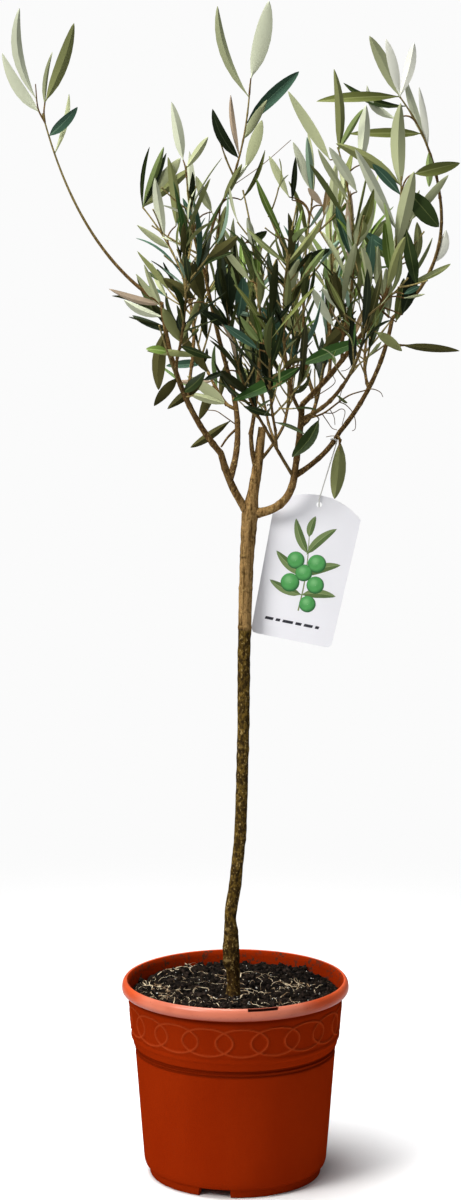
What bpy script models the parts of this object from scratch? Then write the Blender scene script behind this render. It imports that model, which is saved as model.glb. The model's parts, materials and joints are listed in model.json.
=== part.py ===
"""A young olive tree in a round plastic pot.

Metres, with Z up. The origin is the middle of the pot's underside, and -Y is the front.
The trunk stands on the soil and carries the boughs. Each bough is one bent, tapering limb,
and the tip of an outer bough carries one mass of foliage: twigs branch from the mass's own
stem by a seeded rule and bear leaves in opposite pairs. A label card hangs from one bough.
"""

import random
from collections import namedtuple
from math import asin, cos, degrees, pi, radians, sin

import bmesh
import bpy
import numpy as np
from mathutils import Matrix, Vector

GAP = 0.0003  # left between pieces that touch
MM = 0.001

# The pot: (radius, height) up the outer side, over the lip and down the inner side.
POT_SIDES = 32  # the soil has as many, so that their flats line up
FOOT_HEIGHT = 0.008
FOOT_OUTER = 0.0796
FOOT_INNER = 0.0735
POT_OUTER = (
    (0.0810, 0.0080), (0.0836, 0.0098), (0.0848, 0.0140), (0.0872, 0.0435), (0.0927, 0.1165),
    (0.0918, 0.1180), (0.0918, 0.1205), (0.0944, 0.1235), (0.0956, 0.1290), (0.0981, 0.1520),
    (0.0986, 0.1715),
)
POT_LIP = (
    (0.1028, 0.1718), (0.1046, 0.1738), (0.1050, 0.1770), (0.1042, 0.1815), (0.1015, 0.1840),
    (0.0995, 0.1832), (0.0980, 0.1800),
)
POT_INNER = (
    (0.0966, 0.1715), (0.0961, 0.1520), (0.0936, 0.1290), (0.0902, 0.1220), (0.0896, 0.1165),
    (0.0850, 0.0435), (0.0824, 0.0135), (0.0815, 0.0110),
)
NOTCH_BEARINGS = (-104, 16, 136)  # degrees from +X
NOTCH_WIDTH = 0.030
SLOT_BEARING = -74
SLOT_LENGTH, SLOT_WIDTH, SLOT_DEPTH = 0.028, 0.0018, 0.0062
SLOT_RADIUS = 0.1012

# The soil's top, from the middle out: flat where the trunk stands.
SEAT_HEIGHT = 0.1665
SOIL_TOP = ((0.0945, 0.1680), (0.0800, 0.1697), (0.0480, 0.1690), (0.0270, SEAT_HEIGHT))

# The trunk: (height, x, y) up its middle, and (height, radius).
TRUNK_FOOT = SEAT_HEIGHT + GAP
TRUNK_LINE = (
    (TRUNK_FOOT, -0.0040, -0.010), (0.245, -0.0035, -0.008), (0.300, 0.0000, -0.006),
    (0.360, 0.0050, -0.004), (0.500, 0.0072, -0.001), (0.580, 0.0100, 0.0), (0.620, 0.0136, 0.0),
    (0.660, 0.0200, 0.0), (0.695, 0.0240, 0.0),
)
TRUNK_RADII = (
    (TRUNK_FOOT, 0.0115), (0.171, 0.0094), (0.180, 0.0080), (0.198, 0.0080), (0.215, 0.0072),
    (0.240, 0.0058), (0.300, 0.0055), (0.450, 0.0056), (0.550, 0.0061), (0.598, 0.0068),
    (0.616, 0.0078), (0.634, 0.0052), (0.660, 0.0045), (0.695, 0.0034),
)
TRUNK_RINGS, TRUNK_SIDES = 20, 12

# A limb leaves its parent at a share of the parent's length. Its tip lies in the direction of
# bearing and rise (degrees, from +X towards +Y and from level upwards), length away in a
# straight line. Its elbow lies off that line, at the share bend along it, lifted and swung
# to the left (mm).
Growth = namedtuple("Growth", "bearing rise length bend lift swing")
Bough = namedtuple("Bough", "parent share growth root tip")
Foliage = namedtuple("Foliage", "bough growth bare leaf seed")


def bough(parent, share, bearing, rise, length, bend, lift, swing, root, tip):
    """One row of BOUGHS: the length in metres, and lift, swing and both radii in millimetres."""
    growth = Growth(bearing, rise, length, bend, lift * MM, swing * MM)
    return Bough(parent, share, growth, root * MM, tip * MM)


def foliage(parent, bearing, rise, length, bend, lift, swing, bare, leaf, seed):
    """One row of FOLIAGE: the leafless share of the stem, the leaf's length in mm and a seed."""
    growth = Growth(bearing, rise, length, bend, lift * MM, swing * MM)
    return Foliage(parent, growth, bare, leaf * MM, seed)


BOUGHS = {
    # left side
    "bough_left": bough("trunk", 0.85, -155, 63, 0.064, 0.45, -6, -4, 3.7, 3.0),
    "bough_left_high": bough("bough_left", 1, -156, 67, 0.146, 0.45, -25, 4, 2.9, 1.8),
    "bough_left_whip": bough("bough_left_high", 0.42, 77, 60, 0.034, 0.5, 0, 0, 1.7, 1.5),
    "bough_left_low": bough("bough_left_high", 0.30, -106, 35, 0.027, 0.5, 0, 1, 1.7, 1.5),
    "bough_left_front": bough("bough_left_high", 0.60, -87, 36, 0.027, 0.5, -1, -1, 1.6, 1.4),
    "bough_inner": bough("bough_left", 0.62, 91, 63, 0.103, 0.45, -7, -16, 3.0, 2.2),
    "bough_inner_high": bough("bough_inner", 1, -119, 65, 0.103, 0.45, -1, -2, 2.1, 1.5),
    "bough_inner_top": bough("bough_inner_high", 0.93, 36, 77, 0.067, 0.6, 5, 6, 1.4, 1.2),
    "bough_inner_back": bough("bough_inner", 0.70, 111, 5, 0.025, 0.5, -2, -1, 1.8, 1.6),
    # right side
    "bough_right": bough("trunk", 0.852, -17, 43, 0.057, 0.5, -24, 5, 4.0, 3.2),
    "bough_right_up": bough("bough_right", 1, -43, 82, 0.062, 0.5, 0, 2, 3.0, 2.5),
    "bough_right_arm": bough("bough_right_up", 1, -32, 48, 0.117, 0.4, -5, 2, 2.5, 1.9),
    "bough_right_front": bough("bough_right_up", 0.78, -47, 27, 0.041, 0.45, -2, 3, 2.0, 1.8),
    "bough_right_back": bough("bough_right_up", 0.68, 61, 23, 0.027, 0.45, -2, -1, 2.0, 1.8),
    "bough_right_inner": bough("bough_right_up", 0.88, -118, 43, 0.024, 0.4, -1, -1, 1.7, 1.5),
    "bough_right_tall": bough("bough_right_arm", 0.55, -95, 37, 0.026, 0.5, -7, 0, 1.6, 1.5),
    "bough_right_mid": bough("bough_right_arm", 0.36, 79, 62, 0.023, 0.4, -2, -1, 1.6, 1.5),
    "bough_right_high": bough("bough_right_arm", 0.16, 128, 65, 0.024, 0.45, -2, 0, 1.6, 1.5),
    "bough_far": bough("bough_right", 0.95, 30, 38, 0.060, 0.6, -8, -1, 2.5, 2.2),
    "bough_far_mid": bough("bough_far", 1, 16, 64, 0.114, 0.5, -15, -3, 2.2, 1.8),
    "bough_far_arc": bough("bough_far_mid", 1, -21, 68, 0.117, 0.5, -29, 17, 1.8, 1.4),
    "bough_far_spur": bough("bough_far_mid", 0.80, 36, -9, 0.015, 0.4, -3, 0, 1.3, 1.1),
    "bough_far_back": bough("bough_far_mid", 0.42, 91, 5, 0.028, 0.45, -4, -1, 1.6, 1.5),
    "bough_far_knot": bough("bough_far", 0.93, -75, -20, 0.009, 0.5, 1, 0, 1.3, 1.2),
    # middle
    "bough_cross": bough("bough_right", 0.93, -141, 54, 0.058, 0.45, -1, 0, 1.6, 1.4),
    "bough_cross_front": bough("bough_cross", 0.62, -93, 36, 0.032, 0.5, -1, 0, 1.4, 1.3),
    "bough_leader_left": bough("trunk", 0.925, -137, 78, 0.035, 0.5, -2, -2, 2.2, 2.0),
    "bough_leader_right": bough("trunk", 0.940, 58, 34, 0.055, 0.45, -2, -3, 1.6, 1.4),
    "bough_leader_back": bough("bough_leader_right", 0.60, 100, 23, 0.033, 0.5, -1, 0, 1.3, 1.2),
}

FOLIAGE = {
    "foliage_left_spray": foliage("bough_left_high", 179, 58, 0.196, 0.4, -38, -4, 0.73, 74, 732),
    "foliage_left_whip": foliage("bough_left_whip", 124, 60, 0.161, 0.48, 9, -34, 0.2, 62, 815),
    "foliage_left_low": foliage("bough_left_low", -114, 50, 0.092, 0.5, -16, 6, 0.0, 62, 410),
    "foliage_left_front": foliage("bough_left_front", -83, 61, 0.123, 0.5, -20, 6, 0.0, 66, 7),
    "foliage_inner_high": foliage("bough_inner_high", -122, 72, 0.099, 0.35, -6, -5, 0.0, 68, 700),
    "foliage_inner_top": foliage("bough_inner_top", -4, 76, 0.111, 0.4, -12, 6, 0.10, 73, 859),
    "foliage_inner_back": foliage("bough_inner_back", 123, 61, 0.136, 0.48, -32, 1, 0.0, 66, 104),
    "foliage_cross": foliage("bough_cross", -133, 67, 0.129, 0.5, -19, -2, 0.0, 66, 158),
    "foliage_cross_front": foliage("bough_cross_front", -91, 61, 0.142, 0.5, -22, -10, 0.0, 66, 137),
    "foliage_leader_left": foliage("bough_leader_left", 169, 88, 0.217, 0.49, 24, 3, 0.05, 68, 476),
    "foliage_leader_right": foliage("bough_leader_right", 83, 76, 0.185, 0.46, -37, -12, 0.0, 68, 82),
    "foliage_leader_back": foliage("bough_leader_back", 114, 66, 0.161, 0.49, -34, -14, 0.0, 68, 813),
    "foliage_right_inner": foliage("bough_right_inner", -88, 72, 0.177, 0.48, -33, -21, 0.0, 68, 191),
    "foliage_right_high": foliage("bough_right_high", -3, 88, 0.151, 0.5, 10, 3, 0.0, 68, 81),
    "foliage_right_mid": foliage("bough_right_mid", 81, 65, 0.137, 0.5, 1, 6, 0.0, 68, 35),
    "foliage_right_tall": foliage("bough_right_tall", -114, 86, 0.170, 0.5, 4, 24, 0.0, 76, 136),
    "foliage_right_back": foliage("bough_right_back", 79, 57, 0.152, 0.51, -27, -6, 0.0, 68, 169),
    "foliage_right_arm": foliage("bough_right_arm", -30, 80, 0.117, 0.3, -13, -1, 0.0, 80, 131),
    "foliage_right_front": foliage("bough_right_front", -69, 57, 0.141, 0.51, -28, 16, 0.0, 68, 172),
    "foliage_far_arc": foliage("bough_far_arc", -148, 63, 0.099, 0.5, 10, 8, 0.0, 70, 78),
    "foliage_far_spur": foliage("bough_far_spur", 10, 0, 0.010, 0.5, 0, 0, 0.0, 56, 80),
    "foliage_far_back": foliage("bough_far_back", 69, 57, 0.121, 0.47, -24, 27, 0.0, 68, 152),
    "foliage_far_knot": foliage("bough_far_knot", -120, -75, 0.010, 0.5, 0, 0, 0.0, 58, 4),
}

LIMB_RINGS, LIMB_SIDES = 6, 6
COLLAR = 0.25  # how much wider a limb is where it leaves its parent

# The twig and leaf rule.
TWIG_SIDES = 3
STEM_TIP_RADIUS = 0.0010  # at its root a stem is as thick as its bough's tip
TWIG_RADIUS, TWIG_TIP_RADIUS = 0.0011, 0.0009
NODE_SPACING = 0.020  # between pairs of leaves
TWIG_CHANCE = 0.5
TWIG_ZONE = 0.78  # twigs leave the stem below this share of it
TWIG_LENGTHS = (0.032, 0.056)
TWIG_ANGLES = (34, 54)  # degrees off the stem
TWIG_STRAIGHTENS = 0.35  # how much of the stem's direction its outer half takes on
STEM_END, TWIG_END = 0.0015, 0.0012  # the last pair of leaves stands this far short of the tip
LEAF_ANGLE_LOW, LEAF_ANGLE_TIP = 96, 15  # degrees off the twig, at its root and at its tip
LEAF_DROOP = 0.45  # how far the lowest leaves hang
LEAF_SLENDER = (0.180, 0.235)  # width over length
LEAF_WIDEST = 0.45
LEAF_THICKNESS = 0.024  # over length
LEAF_ARCH = 0.05  # how far the middle of a leaf stands off its chord, over length
ROOT_SUNK = 0.0004  # a leaf starts this far behind the twig's middle
TRIES, TURN_CLOSER, SHORTEN = 5, 0.76, 0.95  # a leaf that doesn't fit is drawn in, then skipped
SPACE_MARGIN = 0.0010  # a mass keeps this far inside its own space
LIMB_MARGIN = 0.0013  # and this far off the limbs
# The crown's outline, (height, middle in X, radius): a leaf that starts inside it ends inside it.
OUTLINE = (
    (0.640, 0.030, 0.060), (0.670, 0.030, 0.085), (0.710, 0.032, 0.108), (0.760, 0.038, 0.122),
    (0.800, 0.044, 0.140), (0.850, 0.050, 0.152), (1.100, 0.050, 0.152),
)
OUTLINE_DEPTH = 1.10  # how much deeper than wide the outline is
STEM_STEPS = 16  # points along a stem's middle line

# The label card, hung on a thread from bough_far.
CARD_TOP, CARD_BOTTOM = 0.080, 0.075  # widths at its top and at its bottom
CARD_SIDE, CARD_ARCH = 0.116, 0.015
CARD_THICK = 0.0008
CARD_TILT = 11.5  # degrees, top to the right
CARD_HOLE = (0.0759, 0.0075, 0.6241)
HOLE_RADIUS, HOLE_DROP = 0.0025, 0.0085
CARD_CORNER = 0.004
THREAD_RADIUS = 0.0006
TIE_SHARE, TIE_RADIUS = 0.84, 0.0025  # where the thread goes round the bough
TIE_TURN, TIE_STEPS, TIE_DRIFT = 300, 12, -0.0018


def unit(v):
    return v / np.linalg.norm(v)


def material(name, colour, roughness):
    """A plain Principled material; colour is linear RGB."""
    made = bpy.data.materials.new(name)
    made.use_nodes = True
    shader = made.node_tree.nodes["Principled BSDF"]
    shader.inputs["Base Color"].default_value = (*colour, 1.0)
    shader.inputs["Roughness"].default_value = roughness
    shader.inputs["Metallic"].default_value = 0.0
    return made


def mesh_object(name, points, faces, finish, origin=(0.0, 0.0, 0.0), smooth=True):
    """An object whose own origin is at the point origin; points are in the part's frame."""
    place = Vector([float(v) for v in origin])
    mesh = bpy.data.meshes.new(name)
    mesh.from_pydata([Vector([float(v) for v in p]) - place for p in points], [], faces)
    mesh.materials.append(finish)
    if smooth:
        mesh.shade_smooth()
        mesh.set_sharp_from_angle(angle=radians(40))
    made = bpy.data.objects.new(name, mesh)
    made.location = place
    bpy.context.scene.collection.objects.link(made)
    return made


def tube(centres, radii, sides, first=None, last=None):
    """Points and faces of a closed tube: a ring square to the path at each centre, flat ends.

    first and last, where given, are the directions that the end rings are square to.
    """
    centres = np.asarray(centres, float)
    along = np.gradient(centres, axis=0)
    if first is not None:
        along[0] = first
    if last is not None:
        along[-1] = last
    side = None
    points = []
    for centre, tangent, radius in zip(centres, along, radii):
        tangent = unit(tangent)
        if side is None:
            side = np.cross(tangent, (0.0, 1.0, 0.0))
        side = unit(side - tangent * (side @ tangent))
        across = np.cross(tangent, side)
        for k in range(sides):
            turn = 2 * pi * k / sides
            points.append(centre + radius * (cos(turn) * side + sin(turn) * across))
    rings = len(centres)
    faces = [tuple(reversed(range(sides)))]
    for ring in range(rings - 1):
        for k in range(sides):
            a, b = ring * sides + k, ring * sides + (k + 1) % sides
            faces.append((a, b, b + sides, a + sides))
    faces.append(tuple((rings - 1) * sides + k for k in range(sides)))
    return points, faces


def turned(profile, sides):
    """Points and faces of a profile of (radius, height) turned about Z.

    The profile runs from the axis at the bottom, out and up, and back to the axis.
    """
    points, rings = [], []
    for radius, height in profile:
        if radius == 0:
            rings.append([len(points)])
            points.append((0.0, 0.0, height))
        else:
            rings.append([len(points) + k for k in range(sides)])
            turns = (2 * pi * k / sides for k in range(sides))
            points += [(radius * cos(t), radius * sin(t), height) for t in turns]
    faces = []
    for low, high in zip(rings, rings[1:]):
        for k in range(sides):
            following = (k + 1) % sides
            if len(low) == 1:
                faces.append((low[0], high[following], high[k]))
            elif len(high) == 1:
                faces.append((low[k], low[following], high[0]))
            else:
                faces.append((low[k], low[following], high[following], high[k]))
    return points, faces


def box(size, place):
    """Points and faces of a box of this size, moved by the matrix place."""
    corners = [
        place @ Vector((x * size[0] / 2, y * size[1] / 2, z * size[2] / 2))
        for z in (-1, 1) for y in (-1, 1) for x in (-1, 1)
    ]
    faces = [(0, 2, 3, 1), (4, 5, 7, 6), (0, 1, 5, 4), (2, 6, 7, 3), (0, 4, 6, 2), (1, 3, 7, 5)]
    return corners, faces


def apply_modifiers(target):
    """Replaces the object's mesh by the one its modifiers give."""
    depsgraph = bpy.context.evaluated_depsgraph_get()
    depsgraph.update()
    done = bpy.data.meshes.new_from_object(target.evaluated_get(depsgraph))
    target.modifiers.clear()
    target.data = done


def cut(target, cutters):
    """Takes the cutters away from the target, and removes them."""
    for cutter in cutters:
        step = target.modifiers.new("cut", "BOOLEAN")
        step.operation = "DIFFERENCE"
        step.object = cutter
    apply_modifiers(target)
    for cutter in cutters:
        bpy.data.objects.remove(cutter)


def fuse(target, others):
    """Joins the other objects to the target by one union, and removes them."""
    group = bpy.data.collections.new("joined")
    for other in others:
        group.objects.link(other)
    step = target.modifiers.new("fuse", "BOOLEAN")
    step.operation = "UNION"
    step.operand_type = "COLLECTION"
    step.collection = group
    step.solver = "MANIFOLD"
    apply_modifiers(target)
    for other in others:
        bpy.data.objects.remove(other)
    bpy.data.collections.remove(group)


# Pot and soil


def build_pot(finish):
    profile = [
        (0.0, FOOT_HEIGHT), (FOOT_INNER, FOOT_HEIGHT), (FOOT_INNER, 0.0), (FOOT_OUTER, 0.0),
        (FOOT_OUTER, FOOT_HEIGHT - 0.0006), *POT_OUTER, *POT_LIP, *POT_INNER,
        (0.0, POT_INNER[-1][1]),
    ]
    pot = mesh_object("pot", *turned(profile, POT_SIDES), finish)
    cutters = []
    for bearing in NOTCH_BEARINGS:
        turn = Matrix.Rotation(radians(bearing), 4, "Z")
        middle = Matrix.Translation(((FOOT_OUTER + FOOT_INNER) / 2, 0.0, 0.0))
        height = 2 * (FOOT_HEIGHT - 0.0004)
        shape = box((0.016, NOTCH_WIDTH, height), turn @ middle)
        cutters.append(mesh_object("notch", *shape, finish, smooth=False))
    turn = Matrix.Rotation(radians(SLOT_BEARING), 4, "Z")
    middle = Matrix.Translation((SLOT_RADIUS, 0.0, POT_LIP[4][1]))
    shape = box((SLOT_WIDTH, SLOT_LENGTH, 2 * SLOT_DEPTH), turn @ middle)
    cutters.append(mesh_object("slot", *shape, finish, smooth=False))
    cut(pot, cutters)
    return pot


def build_soil(finish):
    wall = [(r - GAP, z) for r, z in reversed(POT_INNER) if z < SOIL_TOP[0][1]]
    floor = POT_INNER[-1][1] + GAP
    wall[0] = (wall[0][0], floor)
    profile = [(0.0, floor), *wall, *SOIL_TOP, (0.0, SEAT_HEIGHT)]
    return mesh_object("soil", *turned(profile, POT_SIDES), finish)


# Trunk and boughs


def smooth_between(stations, at):
    """Column values at the heights at, by Catmull-Rom curves through the stations."""
    table = np.array(stations)
    heights, values = table[:, 0], table[:, 1:]
    slopes = np.gradient(values, heights, axis=0)
    k = np.clip(np.searchsorted(heights, at) - 1, 0, len(heights) - 2)
    span = (heights[k + 1] - heights[k])[:, None]
    u = (at[:, None] - heights[k][:, None]) / span
    return (
        (2 * u**3 - 3 * u**2 + 1) * values[k] + (u**3 - 2 * u**2 + u) * span * slopes[k]
        + (3 * u**2 - 2 * u**3) * values[k + 1] + (u**3 - u**2) * span * slopes[k + 1]
    )


def trunk_path(rings):
    """Centres and radii up the trunk, closer together at its foot."""
    top = TRUNK_LINE[-1][0]
    heights = TRUNK_FOOT + (top - TRUNK_FOOT) * np.linspace(0.0, 1.0, rings) ** 1.35
    middle = smooth_between(TRUNK_LINE, heights)
    known = np.array(TRUNK_RADII)
    radii = np.interp(heights, known[:, 0], known[:, 1])
    return np.column_stack([middle, heights]), radii


def growth_points(start, growth):
    """Start, elbow and tip of a limb or stem."""
    bearing, rise = radians(growth.bearing), radians(growth.rise)
    ahead = np.array([cos(rise) * cos(bearing), cos(rise) * sin(bearing), sin(rise)])
    left = np.array([-sin(bearing), cos(bearing), 0.0])
    up = np.cross(ahead, left)
    elbow = start + ahead * growth.length * growth.bend + up * growth.lift + left * growth.swing
    return np.array([start, elbow, start + ahead * growth.length])


def on_curve(three, share):
    """The point at this share of a curve that leaves for the elbow and arrives from it."""
    t = np.asarray(share, float)[..., None]
    return (1 - t) ** 2 * three[0] + 2 * t * (1 - t) * three[1] + t**2 * three[2]


class Limb:
    """A limb's middle line and radii, and whether something comes close to it."""

    def __init__(self, points, radii, three=None):
        self.points, self.radii, self.three = points, radii, three

    def at(self, share):
        if self.three is not None:
            return on_curve(self.three, share)
        wanted = self.points[0][2] + share * (self.points[-1][2] - self.points[0][2])
        heights = self.points[:, 2]
        return np.array([np.interp(wanted, heights, self.points[:, i]) for i in range(3)])

    def tip_direction(self):
        return unit(self.points[-1] - self.points[-2])

    def clearance(self, points):
        """The least distance from the points to the limb's skin."""
        starts, ends = self.points[:-1], self.points[1:]
        span = ends - starts
        gap = points[:, None] - starts[None]
        share = np.clip((gap * span).sum(2) / (span**2).sum(1), 0.0, 1.0)
        off = np.linalg.norm(gap - share[..., None] * span[None], axis=2)
        return (off - np.maximum(self.radii[:-1], self.radii[1:])).min()


def grow_limbs():
    """The trunk and every bough, in the order of BOUGHS, each after its parent."""
    limbs = {"trunk": Limb(*trunk_path(TRUNK_RINGS))}
    for name, row in BOUGHS.items():
        three = growth_points(limbs[row.parent].at(row.share), row.growth)
        shares = np.linspace(0.0, 1.0, LIMB_RINGS)
        radii = row.root + (row.tip - row.root) * shares
        radii *= 1 + COLLAR * np.exp(-shares * row.growth.length / (3 * row.root))
        limbs[name] = Limb(on_curve(three, shares), radii, three)
    return limbs


def swollen(name, limb, sides, finish):
    """A cutter: the limb made larger by GAP all over."""
    points = limb.points.copy()
    points[0] -= unit(points[1] - points[0]) * GAP
    points[-1] += limb.tip_direction() * GAP
    radii = (limb.radii + GAP) / cos(pi / sides)
    return mesh_object(name + "_cutter", *tube(points, radii, sides), finish, smooth=False)


def build_trunk(limb, finish):
    level = (0.0, 0.0, 1.0)
    shape = tube(limb.points, limb.radii, TRUNK_SIDES, first=level, last=level)
    return mesh_object("trunk", *shape, finish, origin=limb.points[0])


def build_boughs(limbs, finish):
    """Each bough starts inside its parent and is cut clear of every limb made before it."""
    made = {}
    names = list(limbs)
    for name in names[1:]:
        limb = limbs[name]
        shape = tube(limb.points, limb.radii, LIMB_SIDES)
        made[name] = mesh_object(name, *shape, finish, origin=limb.points[0])
        reach = limb.radii.max() + 2 * GAP
        fine = limb.at(np.linspace(0.0, 1.0, 4 * LIMB_RINGS))
        earlier = names[: names.index(name)]
        close = [other for other in earlier if limbs[other].clearance(fine) < reach]
        sides = {other: TRUNK_SIDES if other == "trunk" else LIMB_SIDES for other in close}
        cut(made[name], [swollen(o, limbs[o], sides[o], finish) for o in close])
        keep_largest(made[name])
    return made


def keep_largest(target):
    """Drops every loose scrap but the largest."""
    work = bmesh.new()
    work.from_mesh(target.data)
    left, islands = set(work.verts), []
    while left:
        island, edge = set(), [left.pop()]
        while edge:
            vertex = edge.pop()
            island.add(vertex)
            for link in vertex.link_edges:
                other = link.other_vert(vertex)
                if other in left:
                    left.discard(other)
                    edge.append(other)
        islands.append(island)
    if len(islands) > 1:
        islands.sort(key=len)
        scraps = [vertex for island in islands[:-1] for vertex in island]
        bmesh.ops.delete(work, geom=scraps, context="VERTS")
        work.to_mesh(target.data)
    work.free()


# Foliage


class Stem:
    """The middle line of a stem or twig, with its direction and two sides anywhere on it."""

    def __init__(self, three, steps=STEM_STEPS):
        self.points = on_curve(three, np.linspace(0.0, 1.0, steps))
        runs = np.linalg.norm(np.diff(self.points, axis=0), axis=1)
        self.along = np.concatenate([[0.0], np.cumsum(runs)])
        self.length = self.along[-1]

    def at(self, distance):
        k = min(max(np.searchsorted(self.along, distance) - 1, 0), len(self.along) - 2)
        share = (distance - self.along[k]) / (self.along[k + 1] - self.along[k])
        return self.points[k] + share * (self.points[k + 1] - self.points[k])

    def frame(self, distance):
        """The direction at this distance, the side in the front view's plane, and the other."""
        ahead = unit(self.at(distance + 0.001) - self.at(distance - 0.001))
        side = unit(np.cross(ahead, (0.0, 1.0, 0.0)))
        return ahead, side, np.cross(ahead, side)


class Space:
    """The space of one mass: nearer to its own stem than to any other, and off the limbs."""

    def __init__(self, own, stems, limbs):
        self.own = stems[own].points
        self.others = np.concatenate([s.points for n, s in stems.items() if n != own])
        self.starts = np.concatenate([limb.points[:-1] for limb in limbs])
        self.spans = np.concatenate([np.diff(limb.points, axis=0) for limb in limbs])
        self.lengths = (self.spans**2).sum(1)
        self.reach = np.concatenate([limb.radii[:-1] for limb in limbs]) + LIMB_MARGIN

    def holds(self, points):
        points = np.asarray(points)
        if within_outline(points[:1]) and not within_outline(points):
            return False
        points = points[:, None]
        near = np.linalg.norm(points - self.own, axis=2).min(1)
        far = np.linalg.norm(points - self.others, axis=2).min(1)
        if (far - near < 2 * SPACE_MARGIN).any():
            return False
        gap = points - self.starts
        share = np.clip((gap * self.spans).sum(2) / self.lengths, 0.0, 1.0)
        off = np.linalg.norm(gap - share[..., None] * self.spans, axis=2)
        return bool((off > self.reach).all())


def within_outline(points):
    heights, middles, radii = np.array(OUTLINE).T
    middle = np.interp(points[:, 2], heights, middles)
    radius = np.interp(points[:, 2], heights, radii)
    return bool((np.hypot(points[:, 0] - middle, points[:, 1] / OUTLINE_DEPTH) < radius).all())


Leaf = namedtuple("Leaf", "root ahead across normal length width")


def leaf_line(leaf, u, v=0.0):
    """The point at the share u of a leaf's length and v of its half width, on its arched blade."""
    arch = LEAF_ARCH * 4 * u * (1 - u)
    return (
        leaf.root + leaf.ahead * leaf.length * u + leaf.normal * leaf.length * arch
        + leaf.across * v * leaf.width / 2
    )


def leaf_fits(leaf, space):
    places = ((0.2, 0.0), (0.45, -1.0), (0.45, 1.0), (0.7, -0.6), (0.7, 0.6), (1.0, 0.0))
    return space.holds([leaf_line(leaf, u, v) for u, v in places])


def place_leaf(rng, stem, distance, turn, share, size, space):
    """A leaf at this distance along a stem and turned about it, or None where none fits.

    Every draw comes first, so that a leaf that is skipped doesn't change the next.
    """
    swerve, twist = rng.uniform(-13, 13), radians(rng.uniform(-40, 40))
    length = size * rng.uniform(0.80, 1.08)
    slender = rng.uniform(*LEAF_SLENDER)
    ahead, side, other = stem.frame(distance)
    out = side * cos(turn) + other * sin(turn)
    angle = radians(LEAF_ANGLE_LOW + (LEAF_ANGLE_TIP - LEAF_ANGLE_LOW) * share**0.5 + swerve)
    hang = np.array([0.0, 0.0, -LEAF_DROOP * (1 - share)])
    for _ in range(TRIES):
        pointing = unit(ahead * cos(angle) + out * sin(angle) + hang * sin(angle))
        flat = unit(np.cross(pointing, np.cross(ahead, out)))
        across = np.cross(pointing, flat)
        normal = flat * cos(twist) + across * sin(twist)
        across = across * cos(twist) - flat * sin(twist)
        leaf = Leaf(stem.at(distance), pointing, across, normal, length, length * slender)
        if leaf_fits(leaf, space):
            return leaf
        angle *= TURN_CLOSER
        length *= SHORTEN
    return None


def grow_mass(row, stem, space):
    """The twigs and leaves of one mass.

    Pairs of leaves stand opposite each other every NODE_SPACING and turn a quarter from pair
    to pair, so that the last pair spreads in the front view's plane. A twig may stand in a
    leaf's place low on the stem. What doesn't fit the mass's space is skipped.
    """
    rng = random.Random(row.seed)
    twigs, leaves = [], []
    first = row.bare * stem.length
    count = max(1, round((stem.length - first) / NODE_SPACING))
    for k in range(1, count + 1):
        distance = first + (stem.length - first) * k / count - STEM_END
        share = k / count
        for half in (0, 1):
            turn = radians(90 * (count - k) + 180 * half + rng.uniform(-18, 18))
            wants_twig = rng.random() < TWIG_CHANCE
            reach, slant = rng.uniform(*TWIG_LENGTHS), radians(rng.uniform(*TWIG_ANGLES))
            twig_seed = rng.randrange(10**6)
            leaf = place_leaf(rng, stem, distance, turn, share, row.leaf, space)
            if wants_twig and share < TWIG_ZONE and count > 2:
                twig = grow_twig(stem, distance, turn, reach, slant)
                if space.holds(twig.points[2:]):
                    twigs.append(twig)
                    leaves += twig_leaves(random.Random(twig_seed), twig, row.leaf, space)
                    continue
            if leaf is not None:
                leaves.append(leaf)
    return twigs, leaves


def grow_twig(stem, distance, turn, reach, slant):
    """A twig that leaves its stem at the angle slant and bends back towards its direction."""
    ahead, side, other = stem.frame(distance)
    out = side * cos(turn) + other * sin(turn)
    start = stem.at(distance)
    leaving = ahead * cos(slant) + out * sin(slant)
    bending = unit(leaving + TWIG_STRAIGHTENS * ahead)
    middle = start + leaving * reach / 2
    return Stem(np.array([start, middle, middle + bending * reach / 2]), 4)


def twig_leaves(rng, twig, size, space):
    count = max(1, round(twig.length / NODE_SPACING))
    leaves = []
    for k in range(1, count + 1):
        distance = twig.length * k / count - TWIG_END
        for half in (0, 1):
            turn = radians(90 * (count - k) + 180 * half + rng.uniform(-25, 25))
            share = 0.3 + 0.7 * k / count
            leaves.append(place_leaf(rng, twig, distance, turn, share, 0.9 * size, space))
    return [leaf for leaf in leaves if leaf is not None]


def leaf_shape(leaf):
    """Six faces: a blade widest at LEAF_WIDEST, with a ridge above, pointed at both ends."""
    middle = leaf_line(leaf, LEAF_WIDEST)
    ridge = middle + leaf.normal * leaf.length * LEAF_THICKNESS
    wide = leaf.across * leaf.width / 2
    root = leaf.root - leaf.ahead * ROOT_SUNK
    points = [root, middle + wide, ridge, middle - wide, leaf_line(leaf, 1.0)]
    return points, [(0, 1, 2), (0, 2, 3), (0, 3, 1), (4, 2, 1), (4, 3, 2), (4, 1, 3)]


def grow_stems(limbs):
    stems = {}
    for name, row in FOLIAGE.items():
        carrier = limbs[row.bough]
        start = carrier.points[-1] + carrier.tip_direction() * GAP
        stems[name] = Stem(growth_points(start, row.growth))
    return stems


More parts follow.
